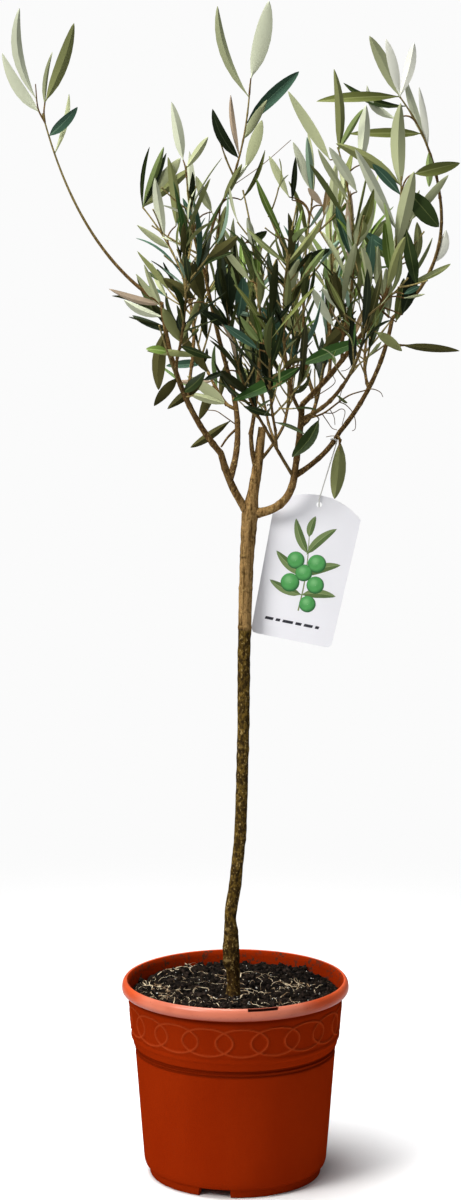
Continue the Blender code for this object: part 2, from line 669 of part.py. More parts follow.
def build_foliage(limbs, stems, thread, twig_finish, leaf_finish):
    made = {}
    for name, row in FOLIAGE.items():
        stem, carrier = stems[name], limbs[row.bough]
        around = [limb for other, limb in limbs.items() if other != row.bough] + [thread]
        twigs, leaves = grow_mass(row, stem, Space(name, stems, around))
        taper = np.linspace(BOUGHS[row.bough].tip, STEM_TIP_RADIUS, len(stem.points))
        shape = tube(stem.points[::3], taper[::3], TWIG_SIDES, first=carrier.tip_direction())
        whole = mesh_object(name, *shape, leaf_finish, origin=stem.points[0], smooth=False)
        pieces = []
        for twig in twigs:
            thin = np.linspace(TWIG_RADIUS, TWIG_TIP_RADIUS, len(twig.points))
            shape = tube(twig.points, thin, TWIG_SIDES)
            pieces.append(mesh_object("twig", *shape, twig_finish, smooth=False))
        for leaf in leaves:
            pieces.append(mesh_object("leaf", *leaf_shape(leaf), leaf_finish, smooth=False))
        fuse(whole, pieces)
        keep_largest(whole)
        made[name] = whole
    return made


# Label card and its thread


def arc(centre, radius, start, end, steps):
    """Points of an arc in the plane, from the bearing start to end in degrees."""
    turns = (radians(start + (end - start) * k / steps) for k in range(steps + 1))
    return [(centre[0] + radius * cos(t), centre[1] + radius * sin(t)) for t in turns]


def card_outline():
    """The card's outline round its hole's centre: straight sides, an arched top."""
    half_top, half_bottom = CARD_TOP / 2, CARD_BOTTOM / 2
    shoulder = HOLE_DROP - CARD_ARCH
    bottom = shoulder - CARD_SIDE
    arch_radius = (half_top**2 + CARD_ARCH**2) / (2 * CARD_ARCH)
    centre = (0.0, HOLE_DROP - arch_radius)
    spread = degrees(asin(half_top / arch_radius))
    c = CARD_CORNER
    return (
        arc(centre, arch_radius, 90 - spread, 90 + spread, 12)
        + arc((-half_bottom + c, bottom + c), c, 180, 270, 4)
        + arc((half_bottom - c, bottom + c), c, 270, 360, 4)
    )


def build_card(finish):
    outline = card_outline()
    tilt = Matrix.Rotation(radians(CARD_TILT), 4, "Y")
    place = Matrix.Translation(CARD_HOLE) @ tilt
    count = len(outline)
    points = [place @ Vector((x, y, z)) for y in (-CARD_THICK / 2, CARD_THICK / 2) for x, z in outline]
    faces = [tuple(range(count)), tuple(reversed(range(count, 2 * count)))]
    faces += [(k, k + count, (k + 1) % count + count, (k + 1) % count) for k in range(count)]
    card = mesh_object("label_card", points, faces, finish, origin=CARD_HOLE)
    front, depth = -4 * CARD_THICK, Vector((0.0, 8 * CARD_THICK, 0.0))
    rim = [place @ Vector((x, front, z)) for x, z in arc((0.0, 0.0), HOLE_RADIUS, 0, 330, 11)]
    sides = len(rim)
    faces = [tuple(range(sides)), tuple(reversed(range(sides, 2 * sides)))]
    faces += [(k, k + sides, (k + 1) % sides + sides, (k + 1) % sides) for k in range(sides)]
    hole = mesh_object("hole", rim + [p + depth for p in rim], faces, finish, smooth=False)
    cut(card, [hole])
    return card


def thread_path(carrier):
    """From behind the card, through its hole, up to the bough and most of the way round it."""
    hole = np.array(CARD_HOLE)
    lift = HOLE_RADIUS - THREAD_RADIUS - 2 * GAP
    off = CARD_THICK / 2 + THREAD_RADIUS + 2 * GAP
    middle = carrier.at(TIE_SHARE)
    ahead = unit(carrier.at(TIE_SHARE + 0.03) - carrier.at(TIE_SHARE - 0.03))
    rising = unit(middle - hole)
    around = unit(rising - ahead * (rising @ ahead))
    facing = np.cross(ahead, around)
    facing = facing if facing[1] < 0 else -facing
    radius = TIE_RADIUS + GAP + THREAD_RADIUS
    wrap = []
    for k in range(TIE_STEPS + 1):
        turn = radians(TIE_TURN * k / TIE_STEPS)
        out = facing * cos(turn) + around * sin(turn)
        wrap.append(middle + radius * out + ahead * TIE_DRIFT * k / TIE_STEPS)
    through = [(0.0, off, -0.003), (0.0, off, 0.3 * lift), (0.0, 0.0, 0.8 * lift)]
    through += [(0.0, -off, lift), (0.0, -off - GAP, lift + 0.004)]
    threaded = [hole + step for step in through]
    rise = [threaded[-1] + (wrap[0] - threaded[-1]) * share for share in (0.3, 0.6, 0.9)]
    return np.array(threaded + rise + wrap)


def build_thread(path, finish):
    shape = tube(path, np.full(len(path), THREAD_RADIUS), 5)
    return mesh_object("label_thread", *shape, finish, origin=path[0])


def main():
    for old in list(bpy.data.objects):
        bpy.data.objects.remove(old)
    plastic = material("terracotta_plastic", (0.36, 0.055, 0.016), 0.42)
    earth = material("soil", (0.012, 0.010, 0.008), 0.95)
    bark = material("bark", (0.21, 0.13, 0.06), 0.85)
    twig = material("green_twig", (0.20, 0.19, 0.09), 0.7)
    leaf = material("olive_leaf", (0.16, 0.20, 0.09), 0.5)
    paper = material("coated_card", (0.72, 0.74, 0.80), 0.4)
    thread = material("thread", (0.55, 0.54, 0.48), 0.7)

    made = [build_pot(plastic), build_soil(earth)]
    limbs = grow_limbs()
    made.append(build_trunk(limbs["trunk"], bark))
    made += build_boughs(limbs, bark).values()
    made.append(build_card(paper))
    path = thread_path(limbs["bough_far"])
    made.append(build_thread(path, thread))
    stems = grow_stems(limbs)
    thread_line = Limb(path, np.full(len(path), THREAD_RADIUS))
    made += build_foliage(limbs, stems, thread_line, twig, leaf).values()

    whole = bpy.data.objects.new("olive_tree", None)
    bpy.context.scene.collection.objects.link(whole)
    for piece in made:
        piece.parent = whole


if __name__ == "__main__":
    main()
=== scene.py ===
"""The looks of a young olive tree in a round plastic pot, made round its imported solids.

Metres, with Z up and -Y the front. The foliage grows by the rule of the solids, from the same
rows and seeds, and is then carried to finer shoots inside the same reach.
"""

import json
import random
from collections import namedtuple
from functools import cache
from itertools import combinations
from math import asin, cos, degrees, pi, radians, sin

import bpy
import numpy as np
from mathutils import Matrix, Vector
from numpy.linalg import norm

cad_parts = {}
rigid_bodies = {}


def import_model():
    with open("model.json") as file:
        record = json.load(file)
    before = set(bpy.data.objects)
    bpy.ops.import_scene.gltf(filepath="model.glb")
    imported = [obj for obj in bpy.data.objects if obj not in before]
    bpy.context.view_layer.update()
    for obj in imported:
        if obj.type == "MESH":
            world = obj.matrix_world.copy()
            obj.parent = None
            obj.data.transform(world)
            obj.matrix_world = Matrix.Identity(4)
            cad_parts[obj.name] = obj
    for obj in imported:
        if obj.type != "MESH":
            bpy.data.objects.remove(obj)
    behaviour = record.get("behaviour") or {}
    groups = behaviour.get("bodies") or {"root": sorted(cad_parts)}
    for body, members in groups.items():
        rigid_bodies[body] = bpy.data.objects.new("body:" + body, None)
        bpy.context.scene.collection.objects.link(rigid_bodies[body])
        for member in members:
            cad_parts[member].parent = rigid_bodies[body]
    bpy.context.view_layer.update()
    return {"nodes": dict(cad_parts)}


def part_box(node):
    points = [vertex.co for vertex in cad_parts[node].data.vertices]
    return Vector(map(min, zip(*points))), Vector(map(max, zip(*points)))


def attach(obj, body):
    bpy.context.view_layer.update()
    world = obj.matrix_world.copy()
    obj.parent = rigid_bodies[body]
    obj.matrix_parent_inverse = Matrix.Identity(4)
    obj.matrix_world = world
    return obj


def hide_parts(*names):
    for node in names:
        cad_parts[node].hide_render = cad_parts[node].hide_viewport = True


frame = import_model()
MM = 0.001
BODY = "root"

# The view, 2.7 m in front of the plant, and its frame in pixels.
FRAME_WIDTH, FRAME_HEIGHT = 461, 1200
FOCAL_PIXELS = 3006.4
SENSOR = 36.0  # mm, along the frame's height
EYE = (-0.0045, -2.700, 0.9436)
EYE_PITCH = 0.1492  # radians below level


# Shader nodes


NOISE_ROUGHNESS = 0.55


class Socket:
    """An output of a material's nodes. Arithmetic on it adds Math nodes."""

    def __init__(self, finish, link):
        self.finish, self.link = finish, link

    def math(self, operation, *values):
        settings = {"operation": operation}
        return self.finish.node("ShaderNodeMath", settings, dict(enumerate(values)))

    def __add__(self, other):
        return self.math("ADD", self, other)

    def __sub__(self, other):
        return self.math("SUBTRACT", self, other)

    def __rsub__(self, other):
        return self.math("SUBTRACT", other, self)

    def __mul__(self, other):
        return self.math("MULTIPLY", self, other)

    __radd__, __rmul__ = __add__, __mul__

    def step(self, low, high):
        """0 below low, 1 above high and smooth between, or the other way round."""
        settings = {"interpolation_type": "SMOOTHSTEP"}
        values = {"Value": self, "From Min": low, "From Max": high}
        return self.finish.node("ShaderNodeMapRange", settings, values)


class Finish:
    """A Principled material, built up from nodes."""

    def __init__(self, name, colour, roughness, plain=None):
        self.material = bpy.data.materials.new(name)
        self.material.use_nodes = True
        self.tree = self.material.node_tree
        self.shader = self.tree.nodes["Principled BSDF"]
        self.set({"Base Color": colour, "Roughness": roughness})
        self.set(plain or {})

    def set(self, values, node=None):
        """Values and links for a node's sockets, or for the shader's where no node is given."""
        node = node or self.shader
        for key, value in values.items():
            socket = node.inputs[key]
            if isinstance(value, Socket):
                self.tree.links.new(value.link, socket)
            elif isinstance(value, tuple) and len(value) == 3 and socket.type == "RGBA":
                socket.default_value = (*value, 1.0)
            else:
                socket.default_value = value

    def node(self, kind, settings=None, values=None, output=0):
        """A node of this kind: its settings are set first, then its sockets' values or links."""
        made = self.tree.nodes.new(kind)
        for key, value in (settings or {}).items():
            setattr(made, key, value)
        self.set(values or {}, made)
        return Socket(self, made.outputs[output])

    def places(self, stretch=(1.0, 1.0, 1.0)):
        """Object coordinates, scaled by stretch."""
        here = self.node("ShaderNodeTexCoord", output="Object")
        return self.node("ShaderNodeMapping", None, {"Vector": here, "Scale": stretch})

    def along(self, axis="Z"):
        """The object's own coordinate along an axis."""
        here = self.node("ShaderNodeTexCoord", output="Object")
        return self.node("ShaderNodeSeparateXYZ", None, {0: here}, output=axis)

    def noise(self, size, detail=3.0, stretch=(1.0, 1.0, 1.0)):
        """Noise from 0 to 1, in spots of this size in metres."""
        values = {"Scale": 1 / size, "Detail": detail, "Roughness": NOISE_ROUGHNESS}
        return self.node("ShaderNodeTexNoise", None, {"Vector": self.places(stretch), **values})

    def mark(self, name):
        """A value that the mesh carries at its points."""
        return self.node("ShaderNodeAttribute", {"attribute_name": name}, output="Fac")

    def mix(self, share, first, second):
        """The first colour where share is 0, the second where it is 1."""
        values = {0: share, 6: first, 7: second}
        return self.node("ShaderNodeMix", {"data_type": "RGBA"}, values, output=2)

    def layers(self, colour, *coats):
        """A colour under coats of others, each with its share."""
        for share, coat in coats:
            colour = self.mix(share, colour, coat)
        return colour

    def bump(self, height, depth):
        """Relief of this depth in metres, where height goes from 0 to 1."""
        values = {"Strength": 1.0, "Distance": depth, "Height": height}
        self.set({"Normal": self.node("ShaderNodeBump", None, values)})


# Meshes worked out as arrays


LATTICE = 32  # cells along each side of the noise's lattice


def unit(v):
    """The vector, or each of an array of them, at length 1."""
    v = np.asarray(v, float)
    return v / norm(v, axis=-1, keepdims=True)


def grid_faces(rows, columns, closed=False):
    """Quads between the rows of a grid of points; closed joins the last column to the first."""
    across = columns if closed else columns - 1
    row, column = (a.ravel() for a in np.indices((rows - 1, across)))
    after = (column + 1) % columns
    low, high = row * columns, (row + 1) * columns
    return np.column_stack([low + column, low + after, high + after, high + column])


def capped(rows, columns):
    """The faces of a closed skin: quads round the grid, and a flat face at either end."""
    start = np.arange(columns)[::-1][None]
    end = (rows - 1) * columns + np.arange(columns)[None]
    return [grid_faces(rows, columns, True), start, end]


def copies(faces, points_each, count):
    """The faces of one shape, repeated for count shapes of so many points each."""
    return (faces[None] + np.arange(count)[:, None, None] * points_each).reshape(-1, faces.shape[1])


def placed(name, data):
    """An object of this mesh, light or camera, linked into the scene."""
    made = bpy.data.objects.new(name, data)
    bpy.context.scene.collection.objects.link(made)
    return made


def piece(name, points, faces, finishes, replaces=(), marks=None, kinds=None, crease=40):
    """A piece of the object: faces is one array or several, and kinds gives their finishes.

    marks are named values for the points.
    """
    faces = faces if isinstance(faces, (list, tuple)) else [faces]
    mesh = bpy.data.meshes.new(name)
    rows = [face for some in faces for face in np.asarray(some).tolist()]
    mesh.from_pydata(np.asarray(points, float).reshape(-1, 3).tolist(), [], rows)
    for finish in finishes:
        mesh.materials.append(finish.material)
    if kinds is not None:
        mesh.polygons.foreach_set("material_index", np.asarray(kinds, np.int32))
    for mark, values in (marks or {}).items():
        layer = mesh.attributes.new(mark, "FLOAT", "POINT")
        layer.data.foreach_set("value", np.asarray(values, np.float32).ravel())
    mesh.shade_smooth()
    mesh.set_sharp_from_angle(angle=radians(crease))
    made = placed(name, mesh)
    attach(made, BODY)
    if replaces:
        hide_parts(*replaces)


def lumps(places, size, seed=0):
    """Smooth noise from -1 to 1: random values on a cubic lattice, blended between its corners."""
    values = np.random.default_rng(seed).uniform(-1, 1, (LATTICE, LATTICE, LATTICE))
    places = np.asarray(places) / size
    cell = np.floor(places).astype(int)
    part = places - cell
    part = part * part * (3 - 2 * part)
    total = 0
    for corner in np.ndindex(2, 2, 2):
        at = (cell + corner) % LATTICE
        weight = np.where(corner, part, 1 - part).prod(-1)
        total = total + weight * values[at[..., 0], at[..., 1], at[..., 2]]
    return total


def circle(count):
    """Bearings spaced evenly round a circle."""
    return np.linspace(0, 2 * pi, count, endpoint=False)


def distances(line):
    """How far each point of a line is along it."""
    return np.concatenate([[0.0], np.cumsum(norm(np.diff(line, axis=0), axis=1))])


def tubes(paths, radii, sides, shape=None):
    """Points and faces of tubes along paths, an array of tubes by rings by XYZ.

    A ring is a circle square to its path, of the ring's radius, times shape where given. The
    ends are closed by flat faces.
    """
    paths, radii = np.asarray(paths, float), np.asarray(radii, float)
    count, rings = paths.shape[:2]
    along = unit(np.gradient(paths, axis=1))
    chord = np.abs(paths[:, -1] - paths[:, 0])
    upright = np.eye(3)[np.argmin(chord, axis=1)][:, None]
    side = unit(np.cross(along, upright))
    across = np.cross(along, side)
    turn = circle(sides)
    ring = side[:, :, None] * np.cos(turn)[:, None] + across[:, :, None] * np.sin(turn)[:, None]
    reach = radii[:, :, None] if shape is None else radii[:, :, None] * shape
    points = paths[:, :, None] + ring * reach[..., None]
    faces = [copies(part, rings * sides, count) for part in capped(rings, sides)]
    return points.reshape(-1, 3), faces


def joined(shapes):
    """One shape's points and list of faces from several, each of points and a list of faces."""
    points, faces, before = [], [], 0
    for some, parts in shapes:
        points.append(some)
        faces += [part + before for part in parts]
        before += len(some)
    return np.concatenate(points), faces


def turned(radii, heights, bearings):
    """Points of a profile turned about Z: rows up the profile, columns round it."""
    radii, heights = np.broadcast_arrays(radii, heights)
    points = (radii * np.cos(bearings), radii * np.sin(bearings), heights)
    return np.stack(np.broadcast_arrays(*points), -1)


def hermite(u, values, slopes, k, span=1.0):
    """The cubic that meets two stations' values and slopes, at the share u from k to the next."""
    return (
        (2 * u**3 - 3 * u**2 + 1) * values[k] + (u**3 - 2 * u**2 + u) * span * slopes[k]
        + (3 * u**2 - 2 * u**3) * values[k + 1] + (u**3 - u**2) * span * slopes[k + 1]
    )


def smooth_line(stations, count):
    """Points along a Catmull-Rom curve through the stations, evenly in their number."""
    stations = np.asarray(stations, float)
    at = np.linspace(0, len(stations) - 1, count)
    k = np.clip(at.astype(int), 0, len(stations) - 2)
    return hermite((at - k)[:, None], stations, np.gradient(stations, axis=0), k)


# The limbs and the rule of growth, as in the solids


GAP = 0.0003  # between the solids
SEAT_HEIGHT = 0.1665  # the soil's flat where the trunk stands

# The trunk: (height, x, y) up its middle, and (height, radius).
TRUNK_FOOT = SEAT_HEIGHT + GAP
TRUNK_LINE = (
    (TRUNK_FOOT, -0.0040, -0.010), (0.245, -0.0035, -0.008), (0.300, 0.0000, -0.006),
    (0.360, 0.0050, -0.004), (0.500, 0.0072, -0.001), (0.580, 0.0100, 0.0), (0.620, 0.0136, 0.0),
    (0.660, 0.0200, 0.0), (0.695, 0.0240, 0.0),
)
TRUNK_RADII = (
    (TRUNK_FOOT, 0.0115), (0.171, 0.0094), (0.180, 0.0080), (0.198, 0.0080), (0.215, 0.0072),
    (0.240, 0.0058), (0.300, 0.0055), (0.450, 0.0056), (0.550, 0.0061), (0.598, 0.0068),
    (0.616, 0.0078), (0.634, 0.0052), (0.660, 0.0045), (0.695, 0.0034),
)
TRUNK_RINGS = 20

# A limb leaves its parent at a share of the parent's length. Its tip lies in the direction of
# bearing and rise (degrees, from +X towards +Y and from level upwards), length away in a
# straight line. Its elbow lies off that line, at the share bend along it, lifted and swung
# to the left (mm).
Growth = namedtuple("Growth", "bearing rise length bend lift swing")
Bough = namedtuple("Bough", "parent share growth root tip")
Foliage = namedtuple("Foliage", "bough growth bare leaf seed")


def bough(parent, share, bearing, rise, length, bend, lift, swing, root, tip):
    """One row of BOUGHS: the length in metres, and lift, swing and both radii in millimetres."""
    growth = Growth(bearing, rise, length, bend, lift * MM, swing * MM)
    parent = "trunk" if parent == "trunk" else f"bough_{parent}"
    return Bough(parent, share, growth, root * MM, tip * MM)


def foliage(parent, bearing, rise, length, bend, lift, swing, bare, leaf, seed):
    """One row of FOLIAGE: the leafless share of the stem, the leaf's length in mm and a seed."""
    growth = Growth(bearing, rise, length, bend, lift * MM, swing * MM)
    return Foliage(f"bough_{parent}", growth, bare, leaf * MM, seed)


BOUGHS = {f"bough_{name}": bough(*row) for name, *row in (
    # left side
    ("left", "trunk", 0.85, -155, 63, 0.064, 0.45, -6, -4, 3.7, 3.0),
    ("left_high", "left", 1, -156, 67, 0.146, 0.45, -25, 4, 2.9, 1.8),
    ("left_whip", "left_high", 0.42, 77, 60, 0.034, 0.5, 0, 0, 1.7, 1.5),
    ("left_low", "left_high", 0.30, -106, 35, 0.027, 0.5, 0, 1, 1.7, 1.5),
    ("left_front", "left_high", 0.60, -87, 36, 0.027, 0.5, -1, -1, 1.6, 1.4),
    ("inner", "left", 0.62, 91, 63, 0.103, 0.45, -7, -16, 3.0, 2.2),
    ("inner_high", "inner", 1, -119, 65, 0.103, 0.45, -1, -2, 2.1, 1.5),
    ("inner_top", "inner_high", 0.93, 36, 77, 0.067, 0.6, 5, 6, 1.4, 1.2),
    ("inner_back", "inner", 0.70, 111, 5, 0.025, 0.5, -2, -1, 1.8, 1.6),
    # right side
    ("right", "trunk", 0.852, -17, 43, 0.057, 0.5, -24, 5, 4.0, 3.2),
    ("right_up", "right", 1, -43, 82, 0.062, 0.5, 0, 2, 3.0, 2.5),
    ("right_arm", "right_up", 1, -32, 48, 0.117, 0.4, -5, 2, 2.5, 1.9),
    ("right_front", "right_up", 0.78, -47, 27, 0.041, 0.45, -2, 3, 2.0, 1.8),
    ("right_back", "right_up", 0.68, 61, 23, 0.027, 0.45, -2, -1, 2.0, 1.8),
    ("right_inner", "right_up", 0.88, -118, 43, 0.024, 0.4, -1, -1, 1.7, 1.5),
    ("right_tall", "right_arm", 0.55, -95, 37, 0.026, 0.5, -7, 0, 1.6, 1.5),
    ("right_mid", "right_arm", 0.36, 79, 62, 0.023, 0.4, -2, -1, 1.6, 1.5),
    ("right_high", "right_arm", 0.16, 128, 65, 0.024, 0.45, -2, 0, 1.6, 1.5),
    ("far", "right", 0.95, 30, 38, 0.060, 0.6, -8, -1, 2.5, 2.2),
    ("far_mid", "far", 1, 16, 64, 0.114, 0.5, -15, -3, 2.2, 1.8),
    ("far_arc", "far_mid", 1, -21, 68, 0.117, 0.5, -29, 17, 1.8, 1.4),
    ("far_spur", "far_mid", 0.80, 36, -9, 0.015, 0.4, -3, 0, 1.3, 1.1),
    ("far_back", "far_mid", 0.42, 91, 5, 0.028, 0.45, -4, -1, 1.6, 1.5),
    ("far_knot", "far", 0.93, -75, -20, 0.009, 0.5, 1, 0, 1.3, 1.2),
    # middle
    ("cross", "right", 0.93, -141, 54, 0.058, 0.45, -1, 0, 1.6, 1.4),
    ("cross_front", "cross", 0.62, -93, 36, 0.032, 0.5, -1, 0, 1.4, 1.3),
    ("leader_left", "trunk", 0.925, -137, 78, 0.035, 0.5, -2, -2, 2.2, 2.0),
    ("leader_right", "trunk", 0.940, 58, 34, 0.055, 0.45, -2, -3, 1.6, 1.4),
    ("leader_back", "leader_right", 0.60, 100, 23, 0.033, 0.5, -1, 0, 1.3, 1.2),
)}

FOLIAGE = {f"foliage_{name}": foliage(*row) for name, *row in (
    ("left_spray", "left_high", 179, 58, 0.196, 0.4, -38, -4, 0.73, 74, 732),
    ("left_whip", "left_whip", 124, 60, 0.161, 0.48, 9, -34, 0.2, 62, 815),
    ("left_low", "left_low", -114, 50, 0.092, 0.5, -16, 6, 0.0, 62, 410),
    ("left_front", "left_front", -83, 61, 0.123, 0.5, -20, 6, 0.0, 66, 7),
    ("inner_high", "inner_high", -122, 72, 0.099, 0.35, -6, -5, 0.0, 68, 700),
    ("inner_top", "inner_top", -4, 76, 0.111, 0.4, -12, 6, 0.10, 73, 859),
    ("inner_back", "inner_back", 123, 61, 0.136, 0.48, -32, 1, 0.0, 66, 104),
    ("cross", "cross", -133, 67, 0.129, 0.5, -19, -2, 0.0, 66, 158),
    ("cross_front", "cross_front", -91, 61, 0.142, 0.5, -22, -10, 0.0, 66, 137),
    ("leader_left", "leader_left", 169, 88, 0.217, 0.49, 24, 3, 0.05, 68, 476),
    ("leader_right", "leader_right", 83, 76, 0.185, 0.46, -37, -12, 0.0, 68, 82),
    ("leader_back", "leader_back", 114, 66, 0.161, 0.49, -34, -14, 0.0, 68, 813),
    ("right_inner", "right_inner", -88, 72, 0.177, 0.48, -33, -21, 0.0, 68, 191),
    ("right_high", "right_high", -3, 88, 0.151, 0.5, 10, 3, 0.0, 68, 81),
    ("right_mid", "right_mid", 81, 65, 0.137, 0.5, 1, 6, 0.0, 68, 35),
    ("right_tall", "right_tall", -114, 86, 0.170, 0.5, 4, 24, 0.0, 76, 136),
    ("right_back", "right_back", 79, 57, 0.152, 0.51, -27, -6, 0.0, 68, 169),
    ("right_arm", "right_arm", -30, 80, 0.117, 0.3, -13, -1, 0.0, 80, 131),
    ("right_front", "right_front", -69, 57, 0.141, 0.51, -28, 16, 0.0, 68, 172),
    ("far_arc", "far_arc", -148, 63, 0.099, 0.5, 10, 8, 0.0, 70, 78),
    ("far_spur", "far_spur", 10, 0, 0.010, 0.5, 0, 0, 0.0, 56, 80),
    ("far_back", "far_back", 69, 57, 0.121, 0.47, -24, 27, 0.0, 68, 152),
    ("far_knot", "far_knot", -120, -75, 0.010, 0.5, 0, 0, 0.0, 58, 4),
)}

LIMB_RINGS = 6
COLLAR, COLLAR_RADII = 0.25, 3  # how much wider a limb's root is, and over how many radii

# The twig and leaf rule.
NODE_SPACING = 0.020  # between pairs of leaves
TWIG_CHANCE = 0.5
TWIG_ZONE = 0.78  # twigs leave the stem below this share of it
TWIG_LENGTHS = (0.032, 0.056)
TWIG_ANGLES = (34, 54)  # degrees off the stem
TWIG_STRAIGHTENS = 0.35  # how much of the stem's direction its outer half takes on
STEM_END, TWIG_END = 0.0015, 0.0012  # the last pair of leaves stands this far short of the tip
LEAF_ANGLE_LOW, LEAF_ANGLE_TIP = 96, 15  # degrees off the twig, at its root and at its tip
LEAF_DROOP = 0.45  # how far the lowest leaves hang
LEAF_LENGTHS = (0.80, 1.08)  # over the mass's own
LEAF_SLENDER = (0.180, 0.235)  # width over length
LEAF_SWERVE, LEAF_TWIST = 13, 40  # degrees either way, off its angle and about its length
PAIR_TURN, TWIG_TURN = 18, 25  # degrees either way: how far a leaf stands off its pair's line
TWIG_FIRST, TWIG_LEAF = 0.3, 0.9  # where a twig's leaves start in the rule, and their size
LEAF_ARCH = 0.05  # how far the middle of a leaf stands off its chord, over length
TRIES, TURN_CLOSER, SHORTEN = 5, 0.76, 0.95  # a leaf that doesn't fit is drawn in, then skipped
SPACE_MARGIN = 0.0010  # a mass keeps this far inside its own space
LIMB_MARGIN = 0.0013  # and this far off the limbs
# Where a leaf is tried against its space: (share of its length, share of its half width).
LEAF_PROBES = ((0.2, 0.0), (0.45, -1.0), (0.45, 1.0), (0.7, -0.6), (0.7, 0.6), (1.0, 0.0))
# The crown's outline, (height, middle in X, radius): a leaf that starts inside it ends inside it.
OUTLINE = (
    (0.640, 0.030, 0.060), (0.670, 0.030, 0.085), (0.710, 0.032, 0.108), (0.760, 0.038, 0.122),
    (0.800, 0.044, 0.140), (0.850, 0.050, 0.152), (1.100, 0.050, 0.152),
)
OUTLINE_DEPTH = 1.10  # how much deeper than wide the outline is
STEM_STEPS, TWIG_STEPS = 16, 4  # points along their middle lines
HEADING_REACH = 0.001  # a line's direction is taken this far either side
TRUNK_CROWDING = 1.35  # above 1, the trunk's rings crowd to its foot


def smooth_between(stations, at):
    """Column values at the heights at, by Catmull-Rom curves through the stations."""
    table = np.array(stations)
    heights, values = table[:, 0], table[:, 1:]
    slopes = np.gradient(values, heights, axis=0)
    k = np.clip(np.searchsorted(heights, at) - 1, 0, len(heights) - 2)
    span = (heights[k + 1] - heights[k])[:, None]
    return hermite((at[:, None] - heights[k][:, None]) / span, values, slopes, k, span)


def trunk_path(rings):
    """Centres and radii up the trunk, closer together at its foot."""
    top = TRUNK_LINE[-1][0]
    heights = TRUNK_FOOT + (top - TRUNK_FOOT) * np.linspace(0.0, 1.0, rings) ** TRUNK_CROWDING
    middle = smooth_between(TRUNK_LINE, heights)
    known = np.array(TRUNK_RADII)
    radii = np.interp(heights, known[:, 0], known[:, 1])
    return np.column_stack([middle, heights]), radii


def growth_points(start, growth):
    """Start, elbow and tip of a limb or stem."""
    bearing, rise = radians(growth.bearing), radians(growth.rise)
    ahead = np.array([cos(rise) * cos(bearing), cos(rise) * sin(bearing), sin(rise)])
    left = np.array([-sin(bearing), cos(bearing), 0.0])
    up = np.cross(ahead, left)
    elbow = start + ahead * growth.length * growth.bend + up * growth.lift + left * growth.swing
    return np.array([start, elbow, start + ahead * growth.length])


def on_curve(three, share):
    """The point at this share of a curve that leaves for the elbow and arrives from it."""
    t = np.asarray(share, float)[..., None]
    return (1 - t) ** 2 * three[0] + 2 * t * (1 - t) * three[1] + t**2 * three[2]


class Limb:
    """A limb's middle line and radii, and the three points of its curve where it has one."""

    def __init__(self, points, radii, three=None):
        self.points, self.radii, self.three = points, radii, three

    def at(self, share):
        """The point at a share of the curve, or at that share of the height where it has none."""
        if self.three is not None:
            return on_curve(self.three, share)
        wanted = self.points[0][2] + share * (self.points[-1][2] - self.points[0][2])
        heights = self.points[:, 2]
        return np.array([np.interp(wanted, heights, self.points[:, i]) for i in range(3)])

    def tip_direction(self):
        """The direction of its last stretch."""
        return unit(self.points[-1] - self.points[-2])


def bough_radii(row, shares, collar=COLLAR):
    """An even taper from root to tip, with a collar at the root that fades out along it."""
    radii = row.root + (row.tip - row.root) * shares
    return radii * (1 + collar * np.exp(-shares * row.growth.length / (COLLAR_RADII * row.root)))


def grow_limbs():
    """The trunk and every bough, in the order of BOUGHS, each after its parent."""
    limbs = {"trunk": Limb(*trunk_path(TRUNK_RINGS))}
    for name, row in BOUGHS.items():
        three = growth_points(limbs[row.parent].at(row.share), row.growth)
        shares = np.linspace(0.0, 1.0, LIMB_RINGS)
        limbs[name] = Limb(on_curve(three, shares), bough_radii(row, shares), three)
    return limbs


class Stem:
    """The middle line of a stem or twig, and its directions anywhere on it."""

    def __init__(self, three, steps=STEM_STEPS):
        self.three = three
        self.points = on_curve(three, np.linspace(0.0, 1.0, steps))
        self.along = distances(self.points)
        self.length = self.along[-1]

    def at(self, distance):
        """The point at this distance from its root."""
        k = min(max(np.searchsorted(self.along, distance) - 1, 0), len(self.along) - 2)
        share = (distance - self.along[k]) / (self.along[k + 1] - self.along[k])
        return self.points[k] + share * (self.points[k + 1] - self.points[k])

    def heading(self, distance, turn):
        """The direction at this distance, and the one square to it, turned from the front plane."""
        ahead = unit(self.at(distance + HEADING_REACH) - self.at(distance - HEADING_REACH))
        side = unit(np.cross(ahead, (0.0, 1.0, 0.0)))
        return ahead, side * cos(turn) + np.cross(ahead, side) * sin(turn)


class Space:
    """The space of one mass: nearer to its own stem than to any other, and off the limbs."""

    def __init__(self, own, stems, limbs):
        self.own = stems[own].points
        self.others = np.concatenate([s.points for n, s in stems.items() if n != own])
        self.starts = np.concatenate([limb.points[:-1] for limb in limbs])
        self.spans = np.concatenate([np.diff(limb.points, axis=0) for limb in limbs])
        self.lengths = (self.spans**2).sum(1)
        self.reach = np.concatenate([limb.radii[:-1] for limb in limbs]) + LIMB_MARGIN

    def holds(self, points):
        """Whether every point lies in it, and in the crown's outline where the first one does."""
        points = np.asarray(points)
        if within_outline(points[:1]) and not within_outline(points):
            return False
        points = points[:, None]
        near = norm(points - self.own, axis=2).min(1)
        far = norm(points - self.others, axis=2).min(1)
        if (far - near < 2 * SPACE_MARGIN).any():
            return False
        gap = points - self.starts
        share = np.clip((gap * self.spans).sum(2) / self.lengths, 0.0, 1.0)
        off = norm(gap - share[..., None] * self.spans, axis=2)
        return bool((off > self.reach).all())


